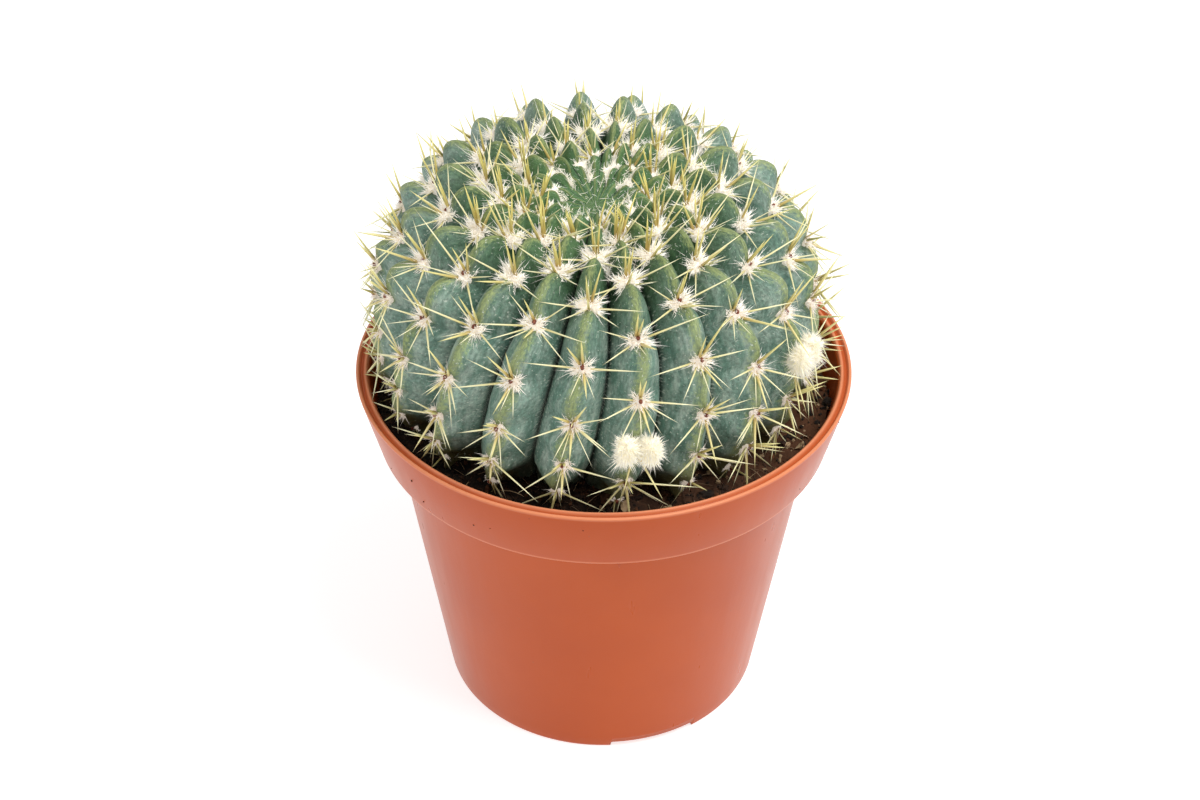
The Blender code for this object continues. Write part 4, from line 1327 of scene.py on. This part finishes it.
# %% Loose peat
loose_finish, tree, shader = new_material("peat_crumbs", 0.9, 1.45)
pick = node(tree, "ShaderNodeAttribute", attribute_name="tint").outputs["Fac"]
place = node(tree, "ShaderNodeTexCoord").outputs["Object"]
rusty = node(tree, "ShaderNodeMapRange", {"Value": pick, "From Min": 0.55, "From Max": 0.9})
bark_colours = {"A": colour("#1E150F"), "B": colour("#6B4226")}
bark = node(tree, "ShaderNodeMix", {"Factor": rusty, **bark_colours}, data_type="RGBA")
pale = node(tree, "ShaderNodeMapRange", {"Value": pick, "From Min": 0.95, "From Max": 0.99})
chips = node(tree, "ShaderNodeMix", {"Factor": pale, "A": bark, "B": colour("#B59A76")}, data_type="RGBA")
# speckles 1.1 mm across and finer
fine = node(tree, "ShaderNodeTexNoise", {"Vector": place, "Scale": 0.9 / MM, "Detail": 3.0})
speckles = {"Value": fine, "From Min": 0.45, "From Max": 0.7}
speckled = node(tree, "ShaderNodeMapRange", {**speckles, "To Max": 0.5})
crumb_colour = node(
    tree, "ShaderNodeMix", {"Factor": speckled, "A": chips, "B": colour("#4A3220")}, data_type="RGBA"
)
feed(shader, {"Base Color": crumb_colour})
print("loose peat:", len(tree.nodes), "nodes")

# %% [markdown]
# A crumb is a ball whose points are pushed in and out, squashed along three directions of its own, and left
# with flat faces. Lumps take finer balls than grit, because their shape shows. Both lie on the open ring of
# peat between the stem and the wall, with more rusty crumbs to the right as painted light from that side.

# %% Crumbs


def on_bed(count, inner=34.0, outer=55.2):
    """Random places on the open ring of peat between two radii in millimetres."""
    radius = np.sqrt(inner**2 + (outer**2 - inner**2) * chance.random(count)) * MM
    turn = chance.random(count) * math.tau
    x, y = radius * np.cos(turn), radius * np.sin(turn)
    return np.stack((x, y, [bed_height(a, b) for a, b in zip(x, y)]), axis=1)


def crumbs(name, subdivisions, count, smallest, largest):
    """Crumbs from the smallest to the largest radius in millimetres, most of them small."""
    mesh, local = balls(subdivisions, count, dents=0.28)
    size = (smallest + (largest - smallest) * chance.random(count) ** 2.2) * MM
    middles = on_bed(count)
    middles[:, 2] += size * 0.25
    ahead = random_directions(count)
    side, other = across_of(ahead)
    squash = 0.45 + 0.55 * chance.random((count, 3))
    shape = sum(
        direction[:, None] * local[:, :, axis, None] * squash[:, None, axis, None]
        for axis, direction in enumerate((ahead, side, other))
    )
    # more rusty crumbs to the right: painted light from that side
    rust = np.clip(chance.random(count) + 0.2 * middles[:, 0] / (50 * MM), 0, 1)
    give(mesh, "tint", rust[:, None], local.shape[:2])
    points = middles[:, None] + size[:, None, None] * shape
    made = object_from_copies(name, mesh, points, loose_finish, rounded_look=False)
    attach(made, "root")


crumbs("peat_lumps", 2, 520, smallest=0.5, largest=1.9)
crumbs("peat_grit", 1, 2600, smallest=0.22, largest=0.8)

# %% [markdown]
# Watering leaves a few specks of peat stuck to the outside of the collar. They are the smallest crumbs of
# all, so plain little balls, half sunk into the collar, are enough.

# %% Specks on the collar
SPECKS = 26
dot_mesh, local = balls(1, SPECKS)
turn = chance.random(SPECKS) * math.tau
level = COLLAR_FOOT + (2 + 14 * chance.random(SPECKS)) * MM
up_the_collar = (level - COLLAR_FOOT) / (POT_HEIGHT - COLLAR_FOOT)
radius = COLLAR_FOOT_RADIUS + (RIM_RADIUS - COLLAR_FOOT_RADIUS) * up_the_collar
middles = np.stack((radius * np.cos(turn), radius * np.sin(turn), level), axis=1)
size = (0.12 + 0.22 * chance.random((SPECKS, 1, 1)) ** 2) * MM
give(dot_mesh, "tint", 0.0, local.shape[:2])
points = middles[:, None] + local * size
specks = object_from_copies("peat_specks", dot_mesh, points, loose_finish, rounded_look=False)
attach(specks, "root")

# %% [markdown]
# Fibres of moss and root lie on the peat, some brown and some bleached. Each is a thin tube of four sides
# that sags along its length. Those that would end in the pot's wall are turned round, to point inwards.

# %% Fibres
fibre_finish, tree, shader = new_material("peat_fibre", 0.8, 1.5)
pick = node(tree, "ShaderNodeAttribute", attribute_name="tint").outputs["Fac"]
bleached = node(tree, "ShaderNodeMapRange", {"Value": pick, "From Min": 0.6, "From Max": 0.95})
moss = {"A": colour("#4B301D"), "B": colour("#B79C78")}
feed(shader, {"Base Color": node(tree, "ShaderNodeMix", {"Factor": bleached, **moss}, data_type="RGBA")})

count = 520
roots = on_bed(count, 36, 54)
turn = chance.random(count) * math.tau
ahead = np.stack((np.cos(turn), np.sin(turn), 0.05 + 0.5 * chance.random(count)), axis=1)
length = (2.0 + 6.0 * chance.random(count) ** 1.5) * MM
reach = np.hypot(*(roots + ahead * length[:, None])[:, :2].T)
ahead[reach > 54 * MM] *= np.array([-1, -1, 1])
sag = np.array([0, 0, 1]) * (length * 0.25)[:, None]
bend = random_directions(count) * (length * 0.35)[:, None] - sag
fibre = turned([(0, 0), (1, 0), (1, 0.2), (0.95, 0.4), (0.9, 0.6), (0.8, 0.8), (0, 1)], 4)
thickness = (0.06 + 0.09 * chance.random(count)) * MM
fibres = needles("peat_fibres", fibre, roots, ahead, length, thickness, fibre_finish, bend)
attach(fibres, "root")

# %% [markdown]
# ## Studio
# A pale floor and a big soft light from above, in a white surround, light a plant evenly, as in a light tent.
# A weaker light from each side keeps the pot looking round. White paper lit hard from behind shows hardly any
# shadow, so the floor glows and reflects only about half of what falls on it.

# %% Surround and floor
world = bpy.data.worlds.new("tent")
bpy.context.scene.world = world
world.use_nodes = True
feed(world.node_tree.nodes["Background"], {"Color": (1.0, 1.0, 1.0, 1.0), "Strength": 0.57})

floor_finish, tree, shader = new_material("floor_paper", 0.9)
feed(shader, {"Base Color": colour("#C4C4C4")})
feed(shader, {"Emission Color": colour("#FFFFFF"), "Emission Strength": 0.70})
sweep = bmesh.new()
bmesh.ops.create_grid(sweep, x_segments=8, y_segments=8, size=3.0)
floor = object_from_bmesh("floor", sweep, floor_finish)
print("floor:", len(floor.data.polygons), "faces")

# %% [markdown]
# A square area light gives the broad highlights of a softbox. Each one is turned to face the plant, and its
# size decides how soft the shadows are. The camera stands in front, looks down at 38 degrees and has a
# moderately long lens, which keeps the pot's sides nearly straight.

# %% Lights and camera


def softbox(name, spot, size, power, target=(0, 0, 0.09)):
    """A square lamp of that size in metres and power in watts, which faces the target."""
    lamp = bpy.data.lights.new(name, "AREA")
    lamp.shape = "RECTANGLE"
    lamp.size = lamp.size_y = size
    lamp.energy = power
    holder = bpy.data.objects.new(name, lamp)
    holder.location = spot
    holder.rotation_euler = (Vector(target) - Vector(spot)).to_track_quat("-Z", "Y").to_euler()
    bpy.context.scene.collection.objects.link(holder)


softbox("softbox_top", (0.34, -0.2, 0.84), 0.45, 5.9)
softbox("softbox_left", (-0.8, -0.45, 0.45), 0.6, 1.2)
softbox("softbox_right", (0.75, -0.5, 0.5), 0.5, 0.2)

lens = bpy.data.cameras.new("camera")
lens.lens = 66.79
lens.sensor_width = 36.0
camera = bpy.data.objects.new("camera", lens)
# 52.4 degrees up from straight down, which is 38 degrees below level
camera_turn = Matrix.Rotation(math.radians(52.4), 4, "X") @ Matrix.Rotation(math.radians(0.37), 4, "Z")
camera.matrix_world = Matrix.Translation((-0.86 * MM, -434.0 * MM, 414.2 * MM)) @ camera_turn
bpy.context.scene.collection.objects.link(camera)
bpy.context.scene.camera = camera
bpy.context.scene.view_settings.view_transform = "Standard"
print("camera at", [round(value, 3) for value in camera.matrix_world.translation], "m")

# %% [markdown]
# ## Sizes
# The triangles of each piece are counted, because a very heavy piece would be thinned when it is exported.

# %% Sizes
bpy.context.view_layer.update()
triangles = {
    made.name: sum(len(face.vertices) - 2 for face in made.data.polygons)
    for made in bpy.context.scene.objects
    if made.type == "MESH" and made.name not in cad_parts
}
print("triangles:", triangles, "in all", sum(triangles.values()))
